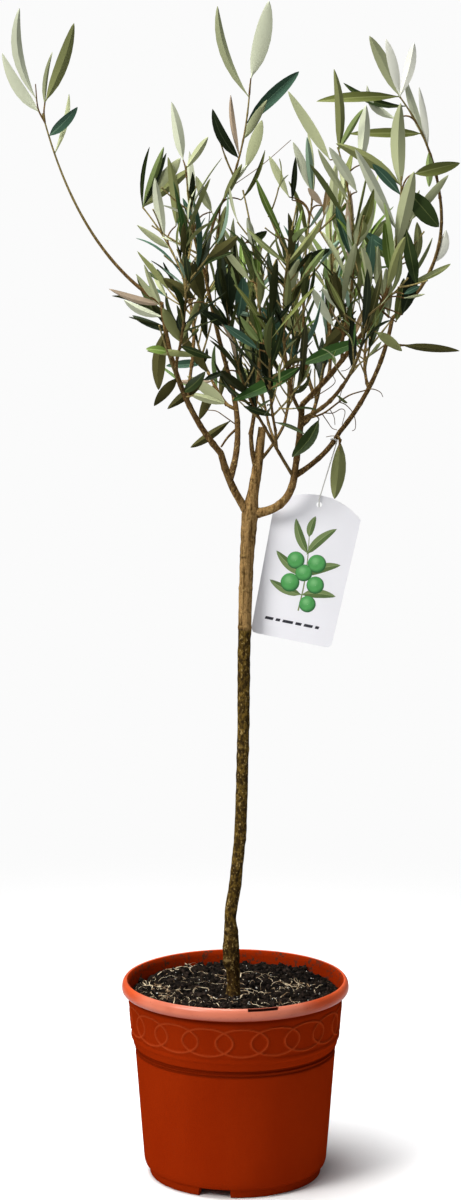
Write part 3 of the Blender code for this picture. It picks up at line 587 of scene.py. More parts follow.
def within_outline(points):
    """Whether every point lies in the crown's outline, an oval at each height."""
    heights, middles, radii = np.array(OUTLINE).T
    middle = np.interp(points[:, 2], heights, middles)
    out = np.hypot(points[:, 0] - middle, points[:, 1] / OUTLINE_DEPTH)
    return bool((out < np.interp(points[:, 2], heights, radii)).all())


Leaf = namedtuple("Leaf", "root ahead across normal length width bend", defaults=[None])


def leaf_line(leaf, u, v=0.0):
    """The point at the share u of a leaf's length and v of its half width, on its arched blade."""
    arch = LEAF_ARCH * 4 * u * (1 - u)
    return (
        leaf.root + leaf.ahead * leaf.length * u + leaf.normal * leaf.length * arch
        + leaf.across * v * leaf.width / 2
    )


def rolled(flat, across, turn):
    """A leaf's normal and the direction across it, rolled about its length."""
    return flat * cos(turn) + across * sin(turn), across * cos(turn) - flat * sin(turn)


def place_leaf(rng, stem, distance, turn, share, size, space, freedom=1.0):
    """A leaf at this distance along a stem and turned about it, or None where none fits.

    Every draw comes first, so that a leaf that is skipped doesn't change the next.
    """
    swerve = rng.uniform(-LEAF_SWERVE, LEAF_SWERVE) * freedom
    twist = radians(rng.uniform(-LEAF_TWIST, LEAF_TWIST)) * freedom
    length = size * rng.uniform(*LEAF_LENGTHS)
    slender = rng.uniform(*LEAF_SLENDER)
    ahead, out = stem.heading(distance, turn)
    angle = radians(LEAF_ANGLE_LOW + (LEAF_ANGLE_TIP - LEAF_ANGLE_LOW) * share**0.5 + swerve)
    hang = np.array([0.0, 0.0, -LEAF_DROOP * (1 - share)])
    for _ in range(TRIES):
        pointing = unit(ahead * cos(angle) + out * sin(angle) + hang * sin(angle))
        flat = unit(np.cross(pointing, np.cross(ahead, out)))
        normal, across = rolled(flat, np.cross(pointing, flat), twist)
        leaf = Leaf(stem.at(distance), pointing, across, normal, length, length * slender)
        if space.holds([leaf_line(leaf, u, v) for u, v in LEAF_PROBES]):
            return leaf
        angle *= TURN_CLOSER
        length *= SHORTEN
    return None


def pair_turn(rng, pairs_left, half, wander, more=0):
    """The turn of one of a pair: opposite its partner, and a quarter on from the next pair."""
    return radians(90 * pairs_left + more + 180 * half + rng.uniform(-wander, wander))


def grow_mass(row, stem, space):
    """The twigs and leaves of one mass.

    Pairs of leaves stand opposite each other every NODE_SPACING and turn a quarter from pair
    to pair, so that the last pair spreads in the front view's plane. A twig may stand in a
    leaf's place low on the stem. What doesn't fit the mass's space is skipped.
    """
    rng = random.Random(row.seed)
    twigs, leaves = [], []
    first = row.bare * stem.length
    count = max(1, round((stem.length - first) / NODE_SPACING))
    for k in range(1, count + 1):
        distance = first + (stem.length - first) * k / count - STEM_END
        share = k / count
        for half in (0, 1):
            turn = pair_turn(rng, count - k, half, PAIR_TURN)
            wants_twig = rng.random() < TWIG_CHANCE
            reach, slant = rng.uniform(*TWIG_LENGTHS), radians(rng.uniform(*TWIG_ANGLES))
            twig_seed = rng.randrange(10**6)
            leaf = place_leaf(rng, stem, distance, turn, share, row.leaf, space)
            if wants_twig and share < TWIG_ZONE and count > 2:
                twig = grow_twig(stem, distance, turn, reach, slant)
                if space.holds(twig.points[2:]):
                    twigs.append(twig)
                    leaves += twig_leaves(random.Random(twig_seed), twig, row.leaf, space)
                    continue
            if leaf is not None:
                leaves.append(leaf)
    return twigs, leaves


def grow_twig(stem, distance, turn, reach, slant):
    """A twig that leaves its stem at the angle slant and bends back towards its direction."""
    ahead, out = stem.heading(distance, turn)
    start = stem.at(distance)
    leaving = ahead * cos(slant) + out * sin(slant)
    bending = unit(leaving + TWIG_STRAIGHTENS * ahead)
    middle = start + leaving * reach / 2
    return Stem(np.array([start, middle, middle + bending * reach / 2]), TWIG_STEPS)


def twig_leaves(rng, twig, size, space):
    """A twig's pairs of leaves, by the stem's rule, without those that don't fit."""
    count = max(1, round(twig.length / NODE_SPACING))
    leaves = []
    for k in range(1, count + 1):
        distance = twig.length * k / count - TWIG_END
        for half in (0, 1):
            turn = pair_turn(rng, count - k, half, TWIG_TURN)
            share = TWIG_FIRST + (1 - TWIG_FIRST) * k / count
            leaves.append(place_leaf(rng, twig, distance, turn, share, TWIG_LEAF * size, space))
    return [leaf for leaf in leaves if leaf is not None]


def grow_stems(limbs):
    """Every mass's stem, which starts a gap beyond its bough's tip."""
    stems = {}
    for name, row in FOLIAGE.items():
        carrier = limbs[row.bough]
        start = carrier.points[-1] + carrier.tip_direction() * GAP
        stems[name] = Stem(growth_points(start, row.growth))
    return stems


# Finer foliage, and the leaves' shapes


# Between two nodes of the rule stands a fine shoot or a leaf: how often, at these heights.
FINE_CHANCES, FINE_HEIGHTS = (1.0, 0.75, 0.15), (0.72, 0.84, 0.93)
FINE_LENGTHS, FINE_ANGLES = (0.016, 0.034), (30, 60)  # a shoot's, in degrees off its line
FINE_START = 0.004  # the first one stands this far along a twig
FINE_LEAVES = (0.42, 0.80)  # a leaf there, over the mass's own
FINE_FREEDOM = 2.2  # how much more freely it turns than the rule's leaves
FINE_LOW_LEAVES = 0.4  # of the leaves low on a line stand, and shoots take the others' place

LEAF_STATIONS = (0.0, 0.04, 0.12, 0.24, 0.38, 0.52, 0.66, 0.78, 0.88, 0.955, 1.0)
LEAF_FULLNESS = 0.66  # below 1, its outline is fuller than a sine
LEAF_SHIFTS = (0.84, 1.20)  # it is widest low, or high
NECK_SHARE, NECK_CURVE = 0.16, 0.6  # it narrows to the stalk over this share of its length
LEAF_ARCHES, LEAF_SWAYS, LEAF_FOLDS = (-0.02, 0.10), (-0.06, 0.06), (0.10, 0.55)  # how far it bends
LEAF_TWISTS = (-45, 45)  # degrees over its length
TWIST_CENTRE = 0.4  # where the twist leaves the blade as it was
LEAF_CHECKS = np.linspace(0.0, 1.0, 9)  # where along it a leaf is looked at
LEAF_SLIMS = (0.60, 0.96)  # a leaf's width over the rule's
SHORT_SHARE, SHORT_LENGTHS = 0.35, (0.5, 0.9)  # young leaves, and their lengths over the rule's
AT_TIP = 0.004  # a leaf that starts this near a shoot's tip keeps its length
LEAF_STALK, LEAF_POINT = 0.0006, 0.0002  # half widths at the two ends
LEAF_BODY = 0.0005  # thickness in the middle
RIB_WIDTH, RIB_MOST = 0.0005, 0.4  # half the pale midrib's width, and its most over the blade's
TOP, RIB, UNDER = 0, 1, 2

# The leaves' tints: upper side, midrib and underside, from the darkest to the palest. The black and
# bark tints are painted shade, for leaves that lie in shadow.
TINTS = {
    "black": ((0.010, 0.016, 0.006), (0.03, 0.04, 0.02), (0.022, 0.026, 0.009)),
    "dark": ((0.022, 0.036, 0.010), (0.07, 0.09, 0.03), (0.060, 0.072, 0.024)),
    "teal": ((0.050, 0.105, 0.070), (0.12, 0.21, 0.14), (0.20, 0.29, 0.21)),
    "olive": ((0.105, 0.120, 0.032), (0.20, 0.22, 0.08), (0.185, 0.200, 0.080)),
    "green": ((0.036, 0.086, 0.020), (0.11, 0.19, 0.06), (0.120, 0.180, 0.065)),
    "fresh": ((0.100, 0.155, 0.030), (0.22, 0.29, 0.09), (0.200, 0.260, 0.095)),
    "grey": ((0.190, 0.220, 0.090), (0.32, 0.35, 0.16), (0.350, 0.375, 0.215)),
    "pale": ((0.340, 0.370, 0.230), (0.50, 0.52, 0.36), (0.52, 0.55, 0.41)),
    "bark": ((0.034, 0.036, 0.010), (0.10, 0.09, 0.035), (0.052, 0.049, 0.016)),
    "silver": ((0.50, 0.52, 0.40), (0.60, 0.61, 0.48), (0.74, 0.75, 0.66)),
    "brown": ((0.190, 0.130, 0.060), (0.30, 0.23, 0.13), (0.36, 0.28, 0.20)),
}
# What the masses hold, in the order of their leaves' tone, and which of them hold it. The low and
# inner masses hold more of the painted-shade tints, black and bark.
FRESH_MIX = "black black dark bark olive fresh olive grey grey".split()  # the other masses
MIXES = {f"foliage_{name}": tints.split() for tints, names in (
    ("olive grey grey pale pale pale", "left_spray inner_top far_arc"),
    ("dark olive teal olive grey fresh grey pale",
     "left_whip inner_high leader_left right_tall right_high right_arm"),
    ("black black dark bark green olive", "left_low left_front cross inner_back far_spur"),
    ("black dark bark green olive fresh grey grey grey", "right_mid right_front right_back"),
    ("olive", "far_knot"),
) for name in names.split()}
TONE_START, TONE_RANGE = 0.60, 0.55  # the middle tone, and how far sprays stray from it
TONE_PATCH = 0.035  # sprays of about this size share a tone
TONE_SPREAD = 0.38  # how far one leaf's tone strays from its spray's
TONE_MOST = 0.999  # below 1, so that it still picks the last of a mix
# The crown's inside: its axis in X, its radius, and the height where it ends and over how much.
CROWN_MIDDLE, CROWN_RADIUS, CROWN_OPEN, CROWN_FADE = 0.045, 0.16, 0.92, 0.10
# Leaves deep in the crown are given darker tints: painted shade.
INNER_SHADE, INNER_SLIM = 0.40, 0.40  # how much darker and slimmer leaves are there, at most
ODD_SHARE = 0.035  # of the leaves are teal, and half as many brown
# Heights, and what they add to a leaf's tone: painted light, darker tints low in the crown and paler
# ones near its top.
PAINTED_TOP_LIGHT = (0.70, 0.78, 0.835, 0.86, 0.885, 0.95), (-0.36, -0.22, -0.10, 0.14, 0.36, 0.38)

REACH_SPARE = 0.004  # finer leaves may pass their solid's box by this much
CROWN_BACK = 0.1545  # a leaf that ends further back is left out


class Reach:
    """A mass's space again, and no further than its solid reaches."""

    def __init__(self, name, space):
        self.space = space
        self.low, self.high = (np.array(corner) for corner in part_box(name))

    def holds(self, points):
        """Whether every point lies in both."""
        points = np.asarray(points)
        inside = (points > self.low - REACH_SPARE) & (points < self.high + REACH_SPARE)
        return bool(inside.all()) and self.space.holds(points)


# Leaves that stand alone against the sky, by what carries them. A row gives the frame's pixels
# nearest to its root and at its tip, its width in pixels, its roll, 0 where the upper side
# faces the eye and 180 where the underside does, and its tint. Where it curves, the last value
# is how many pixels its middle lies to the right of the straight line, seen from its root.
STANDING = {
    "spray_left": ((33, 99, 19.5, 8, 11, 190, "pale", -9), (36, 113, 2, 53, 12, 170, "pale", -6)),
    "spray_right": ((43, 104, 52.5, 52, 6, 215, "grey", -2), (46, 102, 74, 23, 13, 190, "olive", 4)),
    "foliage_left_spray": ((50, 134, 77.5, 107, 11, 10, "teal"), (58, 151, 69, 94, 6, 160, "grey", 3)),
    "foliage_inner_top": (
        (251, 78, 269, 1, 17, 175, "pale", 1), (246, 98, 217.5, 6, 10, 200, "grey", -6),
        (250, 125, 299, 71.5, 14, 10, "teal", -1), (236, 155, 230.7, 95, 6, 160, "brown", -2),
        (247, 140, 267, 100, 9, 190, "grey"), (245, 170, 262, 120, 12, 170, "grey"),
        (236, 158, 212.5, 109, 11, 5, "black", -5), (241, 200, 265, 150, 5, 30, "olive", 2),
        (224, 202, 242, 164, 7, 190, "olive"), (216, 256, 226, 206, 9, 185, "olive"),
    ),
    "foliage_inner_high": (
        (183, 160, 171.5, 102, 11, 180, "pale"), (189, 167, 208, 137, 8, 175, "grey"),
        (190, 215, 192.5, 172, 7, 20, "black"), (212, 212, 196, 176, 9, 190, "grey"),
    ),
    "foliage_left_whip": (
        (142, 206, 149.5, 147, 5, 30, "dark", -3), (142, 204, 163.8, 147, 8, 200, "fresh"),
        (143, 203, 166.4, 153, 6, 10, "black"), (144, 206, 180.5, 158, 14, 185, "grey"),
        (144, 208, 193, 167.5, 10, 170, "olive"), (160, 240, 155, 178, 10, 180, "pale"),
        (166, 250, 137, 225, 7, 190, "grey"), (176, 226, 168, 157, 10, 185, "olive", 2),
    ),
    "bough_left_high": (
        (160, 300, 109, 289, 8, 160, "brown", -4), (160, 318, 124, 300, 9, 190, "pale", -2),
        (161, 308, 136, 274, 6, 190, "grey"), (163, 312, 144, 264.5, 6, 170, "grey"),
        (164, 331, 158.5, 390, 14, 185, "bark", 2.5), (183, 375, 154, 406, 11, 170, "bark"),
    ),
    "foliage_left_low": ((172, 350, 146, 349, 9, 20, "fresh"),),
    "bough_left_whip": ((204, 379, 167.5, 409, 10, 190, "bark"),),
    "foliage_left_front": (
        (196, 299, 163, 278, 12, 185, "bark"), (204, 302, 189, 262, 17, 175, "bark"),
        (184, 347, 212, 358, 8, 20, "dark"), (200, 356, 147, 351, 7, 190, "olive"),
        (181, 343, 163, 308, 11, 185, "olive"), (182, 343, 202, 292, 6, 200, "olive"),
    ),
    "foliage_cross": (
        (225, 328, 201, 310, 9, 10, "black"), (238, 318, 243, 277, 14, 15, "teal"),
        (230, 314, 228, 273, 15, 10, "black"), (226, 371, 204, 380, 6, 10, "black"),
    ),
    "foliage_cross_front": (
        (259, 350, 224, 325, 9, 10, "teal"), (260, 343, 240, 316, 7, 190, "fresh"),
        (262, 343, 253, 314, 6, 20, "fresh"),
    ),
    "foliage_leader_left": (
        (245, 243, 267, 231, 9, 10, "dark"), (250, 281, 222, 246, 7, 190, "grey"),
        (258, 277, 256, 243, 7, 20, "fresh"),
    ),
    "foliage_inner_back": (
        (215, 383, 199, 420, 10, 175, "bark"), (202, 364, 166, 366, 9, 20, "teal"),
        (230, 402, 187, 376, 11, 175, "grey"), (228, 408, 188, 393, 8, 185, "grey"),
    ),
    "stalk_left": ((227, 424, 190.5, 447.5, 9, 190, "bark"),),
    "foliage_right_inner": (
        (300, 367, 232.5, 401, 14, 5, "green"), (300, 365, 365, 340, 13, 350, "green"),
        (299, 362, 261, 307, 14, 15, "teal"), (284, 238, 256, 178, 7, 10, "fresh", -2),
        (286, 307, 299, 259, 11, 185, "grey"),
    ),
    "foliage_right_mid": ((322, 350, 356, 318, 13, 190, "bark"),),
    "bough_right_front": ((319, 419, 292, 457, 14, 10, "dark", -3),),
    "foliage_far_knot": ((338, 437, 334.6, 499, 15, 185, "olive"),),
    "foliage_far_spur": ((402, 344, 459.5, 351, 9, 200, "bark"),),
    "bough_right_arm": ((376, 332, 402, 351, 10, 190, "olive"),),
    "foliage_right_tall": (
        (340, 150, 334, 69, 10, 195, "olive", 3), (330, 160, 288, 91, 11, 185, "grey"),
        (357, 192, 329, 147, 10, 170, "pale"), (360, 165, 366, 105, 12, 180, "pale"),
        (342, 150, 363, 109, 7, 200, "fresh"), (352, 250, 373, 198, 15, 185, "grey"),
        (345, 200, 318, 149, 7, 190, "grey"), (350, 262, 336, 206, 10, 15, "teal"),
        (334, 327, 312, 288, 9, 180, "pale"), (345, 312, 322, 288, 10, 170, "pale"),
        (350, 310, 351, 277, 9, 190, "pale"),
    ),
    "foliage_right_high": (
        (310, 189, 293, 142, 9, 180, "pale"), (312, 192, 307, 137, 7, 190, "teal"),
        (292, 200, 295.5, 157, 6, 15, "black"), (289, 197, 269, 156, 8, 185, "grey"),
        (316, 335, 273, 312, 11, 185, "olive"), (318, 254, 290, 227, 7, 185, "grey"),
        (298, 264, 330, 249, 9, 10, "black"), (323, 206, 308, 188, 7, 190, "brown"),
    ),
    "foliage_right_arm": (
        (404.5, 189, 400.7, 103, 15, 180, "grey", -4), (395.6, 251, 414, 171.5, 15, 175, "grey"),
        (397.5, 233, 355, 149, 11, 185, "pale"), (406, 185, 336, 143.5, 12, 190, "olive", 4),
        (404, 195, 372.5, 164, 10, 10, "teal"), (393, 254, 363, 232, 10, 15, "teal"),
        (414, 174, 460, 163, 13, 10, "olive"), (407, 190, 439, 227, 20, 10, "dark"),
        (410, 221, 448.5, 175, 9, 190, "grey"), (405, 225, 416, 284, 13, 10, "dark"),
        (376, 292, 349, 264, 6, 195, "fresh"), (393, 260, 363, 232, 9, 170, "fresh", -3),
        (368, 290, 372, 236, 11, 10, "teal"), (362, 285, 353, 238, 9, 185, "olive"),
        (384, 300, 378, 246, 9, 190, "grey", -2), (390, 275, 384, 222, 12, 15, "fresh"),
        (402, 315, 414, 258, 14, 10, "black", 2), (389, 318, 386, 268, 10, 190, "grey"),
        (396, 322, 404, 278, 11, 15, "olive"), (376, 330, 372, 284, 9, 15, "olive"),
        (404, 294, 420, 286, 6, 10, "teal"), (404, 298, 425, 294, 3, 190, "grey"),
        (416, 262, 417, 222, 9, 190, "olive", 2),
    ),
    "foliage_far_arc": (
        (398, 97, 369.5, 36, 13, 180, "grey"), (400, 95, 386, 39, 10, 190, "silver"),
        (400, 95, 414, 42.5, 11, 170, "silver", 2), (397, 98, 316.5, 101.5, 11, 15, "olive"),
        (402, 108, 343.5, 83, 8, 10, "dark", -6), (397, 119, 367, 85, 9, 190, "pale", -8),
        (424, 148, 419, 87, 7, 185, "silver", 1), (421, 143, 405, 77, 8, 175, "pale", -2),
        (418, 135, 349, 134, 10, 15, "olive"), (427, 152, 429, 187, 8, 190, "fresh"),
    ),
    "bough_far_arc": ((435, 263, 446, 230, 11, 185, "silver", 4),),
}
# Gaps that the eye sees the sky through, with none of the rule's leaves: column, row, radius.
OPENINGS = np.array((
    (283, 197, 9), (303, 190, 9), (312, 209, 6), (269, 238, 6), (241, 210, 6), (234, 148, 6),
    (193, 307, 6), (164, 231, 6), (360, 364, 7), (290, 386, 7), (282, 412, 9), (339, 378, 7),
    (374, 91, 6), (248, 203, 6), (259, 222, 6), (319, 244, 6), (186, 305, 6), (313, 392, 5),
    (299, 190, 6), (264, 204, 5), (146, 403, 5), (167, 178, 5), (219, 176, 6), (262, 166, 5),
))
# Beyond this share of these stems the standing leaves take the place of the rule's.
THINNED = {
    "foliage_left_spray": 0.0, "foliage_inner_top": 0.35, "foliage_right_arm": 0.45,
    "foliage_left_whip": 0.62, "foliage_inner_high": 0.72, "foliage_right_tall": 0.60,
    "foliage_left_low": 0.25, "foliage_far_back": 0.38, "foliage_right_front": 0.90,
    "foliage_far_arc": 0.0, "foliage_far_knot": 0.0, "foliage_far_spur": 0.0,
}
# Bare twigs and dried flower stalks: what carries each, its radii at its root and its tip in
# millimetres, and the pixels that it passes.
SPURS = {
    "stalk_high": ("foliage_inner_top", 0.4, 0.3, ((234, 190), (262, 165), (291, 140))),
    "spray_left": ("foliage_left_spray", 0.9, 0.5, ((42, 121), (38, 108), (35.5, 84))),
    "spray_right": ("foliage_left_spray", 0.9, 0.7, ((42, 121), (44, 112), (45, 102))),
    "twig_left": ("bough_inner", 1.3, 0.9, ((235, 428), (228, 437), (221, 447))),
    "stalk_left": ("bough_inner", 0.6, 0.4, ((234, 426), (224, 416), (216, 411), (206, 410))),
    "stalk_arc": ("bough_right_back", 1.0, 0.3, (
        (312, 421), (324, 413), (339, 402), (350, 395), (363, 391), (372, 389), (380, 392), (383, 397),
    )),
    "stalk_hook": ("stalk_arc", 0.5, 0.3, (
        (339, 402), (346, 405), (353, 413), (355.5, 422), (355, 429), (352, 431),
    )),
    "stalk_bent": ("stalk_arc", 0.5, 0.3, (
        (324, 415), (333, 413), (341, 409), (345, 412), (342, 425),
    )),
    "stalk_low": ("stalk_arc", 0.5, 0.3, ((322, 416), (327, 421), (332, 428), (337, 430))),
    "stalk_down": ("stalk_arc", 0.4, 0.3, ((330, 409), (334, 417), (335, 425))),
    "stalk_up": ("stalk_arc", 0.5, 0.3, ((339, 402), (340, 396), (342, 390))),
    "stalk_far": ("bough_far_knot", 0.4, 0.3, ((338, 433), (331, 436), (326, 437))),
    "stalk_inner": ("bough_right_arm", 0.4, 0.3, ((353, 358), (351, 365), (346, 370), (341, 371))),
    "stalk_thin": ("bough_right_up", 0.5, 0.3, ((334, 394), (333, 385), (333, 375))),
}
SPUR_STEPS = 8  # rings between two of its points
TOUCHING = 6.0  # pixels: a standing leaf that starts further from its carrier has a twig
LINE_SHARES = np.linspace(0.0, 1.0, 60)  # places along a carrier's middle line
LEAN = 0.30  # how far a standing leaf may lean towards the eye or away, over its length
CALM = 0.3  # how much of the other leaves' random curves a standing leaf has
Standing = namedtuple("Standing", "column row tip_column tip_row width roll tint bow", defaults=[0])


def sight(column, row, depth):
    """The point at this depth on the line of sight through a pixel of the frame."""
    across = (column - FRAME_WIDTH / 2) / FOCAL_PIXELS
    down = (row - FRAME_HEIGHT / 2) / FOCAL_PIXELS
    level, fall = cos(EYE_PITCH), sin(EYE_PITCH)
    ray = np.array([across, level - down * fall, -fall - down * level])
    return np.array(EYE) + ray * (depth - EYE[1]) / ray[1]


def pixels(points):
    """The frame's column and row of each point."""
    off = points - np.array(EYE)
    level, fall = cos(EYE_PITCH), sin(EYE_PITCH)
    deep = off[:, 1] * level - off[:, 2] * fall
    high = off[:, 1] * fall + off[:, 2] * level
    columns = FRAME_WIDTH / 2 + FOCAL_PIXELS * off[:, 0] / deep
    return np.stack([columns, FRAME_HEIGHT / 2 - FOCAL_PIXELS * high / deep], 1)


def nearest_seen(line, column, row):
    """Which point of a carrier's middle line the eye sees nearest to a pixel, and how near."""
    apart = np.hypot(*(pixels(line) - (column, row)).T)
    return apart.argmin(), apart.min()


def standing_root(line, column, row):
    """Where a standing leaf starts, and the line of the small twig that it needs there, if any.

    A twig leaves the carrier below the nearest point, along it, and curves over to the leaf.
    """
    at, apart = nearest_seen(line, column, row)
    if apart < TOUCHING:
        return line[at], None
    root = sight(column, row, line[at][1])
    step = norm(line[1] - line[0])
    start = line[max(0, at - round(norm(root - line[at]) / step))]
    return root, on_curve((start, line[at], root), np.linspace(0.0, 1.0, TWIG_RINGS))


def standing_leaf(root, row, rng):
    """A leaf from its root to the sight line of its tip, which leans towards the eye if at all."""
    level_tip = sight(row.tip_column, row.tip_row, root[1])
    lean = rng.uniform(-LEAN, LEAN / 4) * norm(level_tip - root)
    tip = sight(row.tip_column, row.tip_row, root[1] + lean)
    ahead, toward = unit(tip - root), unit(np.array(EYE) - root)
    flat = unit(toward - toward.dot(ahead) * ahead)
    across = np.cross(ahead, flat)
    pixel = norm(root - np.array(EYE)) / FOCAL_PIXELS
    bend = across * row.bow * pixel
    normal, across = rolled(flat, across, radians(row.roll))
    return Leaf(root, ahead, across, normal, norm(tip - root), row.width * pixel, bend)


def grow_spurs(lines):
    """The tubes of the bare twigs and stalks, whose lines are added to the carriers' lines."""
    tubes_made = []
    for name, (carrier, root, tip, seen) in SPURS.items():
        start = lines[carrier][nearest_seen(lines[carrier], *seen[0])[0]]
        path = np.array([start] + [sight(*place, start[1]) for place in seen[1:]])
        line = smooth_line(path, SPUR_STEPS * (len(path) - 1) + 1)
        radii = np.linspace(root, tip, len(line)) * MM
        tubes_made.append(tubes(line[None], radii[None], SHOOT_SIDES))
        lines[name] = line
    return tubes_made


def thinned(grown, name, stem):
    """What of the rule's twigs or leaves starts below the share where the mass is thinned."""
    if name not in THINNED:
        return grown
    limit = THINNED[name] * (len(stem.points) - 1)
    starts = [item.root if isinstance(item, Leaf) else item.points[0] for item in grown]
    places = [norm(stem.points - start, axis=1).argmin() for start in starts]
    return [item for item, place in zip(grown, places) if place < limit]


def grow_finer(row, stem, twigs, space):
    """Fine shoots with small leaves between the nodes of the stem and of its twigs."""
    rng = random.Random(row.seed + 1)
    shoots, leaves = [], []
    for line in [stem] + twigs:
        first = row.bare * stem.length if line is stem else FINE_START
        count = max(1, round((line.length - first) / NODE_SPACING))
        for k in range(count):
            distance = first + (line.length - first) * (k + 0.5) / count
            share = (k + 0.5) / count
            for half in (0, 1):
                turn = pair_turn(rng, count - k, half, TWIG_TURN, 45)
                reach, slant = rng.uniform(*FINE_LENGTHS), radians(rng.uniform(*FINE_ANGLES))
                size = row.leaf * rng.uniform(*FINE_LEAVES)
                leaf = place_leaf(rng, line, distance, turn, share, size, space, FINE_FREEDOM)
                if rng.random() > np.interp(line.at(distance)[2], FINE_HEIGHTS, FINE_CHANCES):
                    continue
                if leaf is not None and (share > TWIG_ZONE or rng.random() < FINE_LOW_LEAVES):
                    leaves.append(leaf)
                    continue
                shoot = grow_twig(line, distance, turn, reach, slant)
                held = space.holds(shoot.points[1:])
                born = twig_leaves(rng, shoot, size, space) if held else []
                if born:
                    shoots.append(shoot)
                    leaves += born
    return shoots, leaves


def left_out(leaf):
    """Whether the eye sees this leaf in one of the openings, or it ends too far back."""
    line = leaf.root + np.outer(LEAF_CHECKS, leaf.ahead * leaf.length)
    apart = norm(pixels(line)[:, None] - OPENINGS[:, :2], axis=2)
    return bool((apart < OPENINGS[:, 2]).any() or line[-1][1] > CROWN_BACK)


def leaf_outline(u, shift):
    """Half width over the greatest half width: a sine over the length, drawn in at the stalk."""
    return np.sin(pi * u**shift) ** LEAF_FULLNESS * np.clip(u / NECK_SHARE, 0.0, 1.0) ** NECK_CURVE


def depth_of(places):
    """How deep in the crown a place lies: 1 on its axis low down, 0 at its sides and its top."""
    places = np.asarray(places)
    out = np.hypot(places[..., 0] - CROWN_MIDDLE, places[..., 1]) / CROWN_RADIUS
    low = np.clip((CROWN_OPEN - places[..., 2]) / CROWN_FADE, 0, 1)
    return np.clip(1 - out, 0, 1) * low


def vary_sizes(leaves, tips, rng):
    """The leaves again, slimmer each by its own share, and some of them shorter.

    A leaf that starts at a shoot's tip keeps its length, so that the mass keeps its reach.
    """
    tips = np.array(tips)
    varied = []
    for leaf in leaves:
        at_tip = norm(tips - leaf.root, axis=1).min() < AT_TIP
        deep = depth_of(leaf.root)
        short = rng.random() < SHORT_SHARE * (1 + deep) and not at_tip
        shorter = rng.uniform(*SHORT_LENGTHS) if short else 1.0
        slimmer = rng.uniform(*LEAF_SLIMS) * shorter**0.4 * (1 - INNER_SLIM * deep)
        varied.append(leaf._replace(length=leaf.length * shorter, width=leaf.width * slimmer))
    return varied


def leaf_shells(leaves, rng):
    """Points, faces and face kinds of closed blades, each with a fold, a curve and a twist.

    A blade's line runs straight from its root to its tip, and bows off that by a parabola: to
    its upper side by arch, sideways by sway, and by its bend. Five points go round it at each
    station: an edge, the two sides of the midrib, the other edge and the middle of the
    underside. The edges rise by fold for each step out from the midrib.
    """
    count, stations = len(leaves), len(LEAF_STATIONS)
    root, ahead, across, normal, length, width = (
        np.array([getattr(leaf, part) for leaf in leaves])[:, None, None]
        for part in ("root", "ahead", "across", "normal", "length", "width")
    )

    def drawn(low, high):
        return rng.uniform(low, high, (count, 1, 1))

    free = np.array([1.0 if leaf.bend is None else CALM for leaf in leaves])[:, None, None]
    bend = np.array([np.zeros(3) if leaf.bend is None else leaf.bend for leaf in leaves])
    arch, sway, fold = drawn(*LEAF_ARCHES) * free, drawn(*LEAF_SWAYS) * free, drawn(*LEAF_FOLDS)
    twist, shift = np.radians(drawn(*LEAF_TWISTS)), drawn(*LEAF_SHIFTS)
    u = np.array(LEAF_STATIONS)[None, :, None]
    side = np.array([-1.0, -1.0, 1.0, 1.0, 0.0])
    edge = np.array([1.0, 0.0, 0.0, 1.0, 0.0])
    ends = LEAF_STALK + (LEAF_POINT - LEAF_STALK) * u
    half = np.maximum(width / 2 * leaf_outline(u, shift), ends)
    rib = np.minimum(RIB_WIDTH * (1.3 - u), half * RIB_MOST)
    out = side * (edge * half + (1 - edge) * rib)
    up = fold * np.abs(out) - np.array([0.0, 0, 0, 0, 1]) * np.minimum(LEAF_BODY, half)
    parabola = 4 * u * (1 - u) * length
    turn = twist * (u - TWIST_CENTRE)
    turned_across = across * np.cos(turn)[..., None] + normal * np.sin(turn)[..., None]
    turned_up = normal * np.cos(turn)[..., None] - across * np.sin(turn)[..., None]
    points = (
        root + ahead * (length * u)[..., None]
        + normal * (arch * parabola)[..., None] + across * (sway * parabola)[..., None]
        + bend[:, None, None] * (4 * u * (1 - u))[..., None]
        + turned_across * out[..., None] + turned_up * up[..., None]
    )
    quads, start, end = capped(stations, 5)
    a, b, c, d = quads.T
    leaning = np.tile([False, False, True, False, True], stations - 1)[:, None]
    first = np.where(leaning, np.stack([a, b, d], 1), np.stack([a, b, c], 1))
    second = np.where(leaning, np.stack([b, c, d], 1), np.stack([a, c, d], 1))
    faces = [copies(part, stations * 5, count) for part in (first, second, start, end)]
    kinds = np.tile(np.tile([TOP, RIB, TOP, UNDER, UNDER], stations - 1), count)
    return points.reshape(-1, 3), faces, np.concatenate([kinds, kinds, np.full(2 * count, UNDER)])


def tone_of(leaves, rng):
    """A tone from 0 to 1 for each leaf, alike within a spray, lowered deep in the crown by painted
    shade and changed with height by painted light.
    """
    roots = np.array([leaf.root for leaf in leaves]).reshape(-1, 3)
    tone = TONE_START - INNER_SHADE * depth_of(roots) + TONE_RANGE * lumps(roots, TONE_PATCH, 5)
    tone += np.interp(roots[:, 2], *PAINTED_TOP_LIGHT)
    tone += rng.uniform(-1, 1, len(leaves)) * TONE_SPREAD
    return np.clip(tone, 0.0, TONE_MOST)


def deal_tints(name, leaves, rng):
    """A tint's name for each leaf of a mass."""
    mix = MIXES.get(name, FRESH_MIX)
    tints = [mix[int(tone * len(mix))] for tone in tone_of(leaves, rng)]
    odd = rng.random(len(leaves))
    tints = ["teal" if o < ODD_SHARE else tint for o, tint in zip(odd, tints)]
    return ["brown" if o > 1 - ODD_SHARE / 2 else tint for o, tint in zip(odd, tints)]


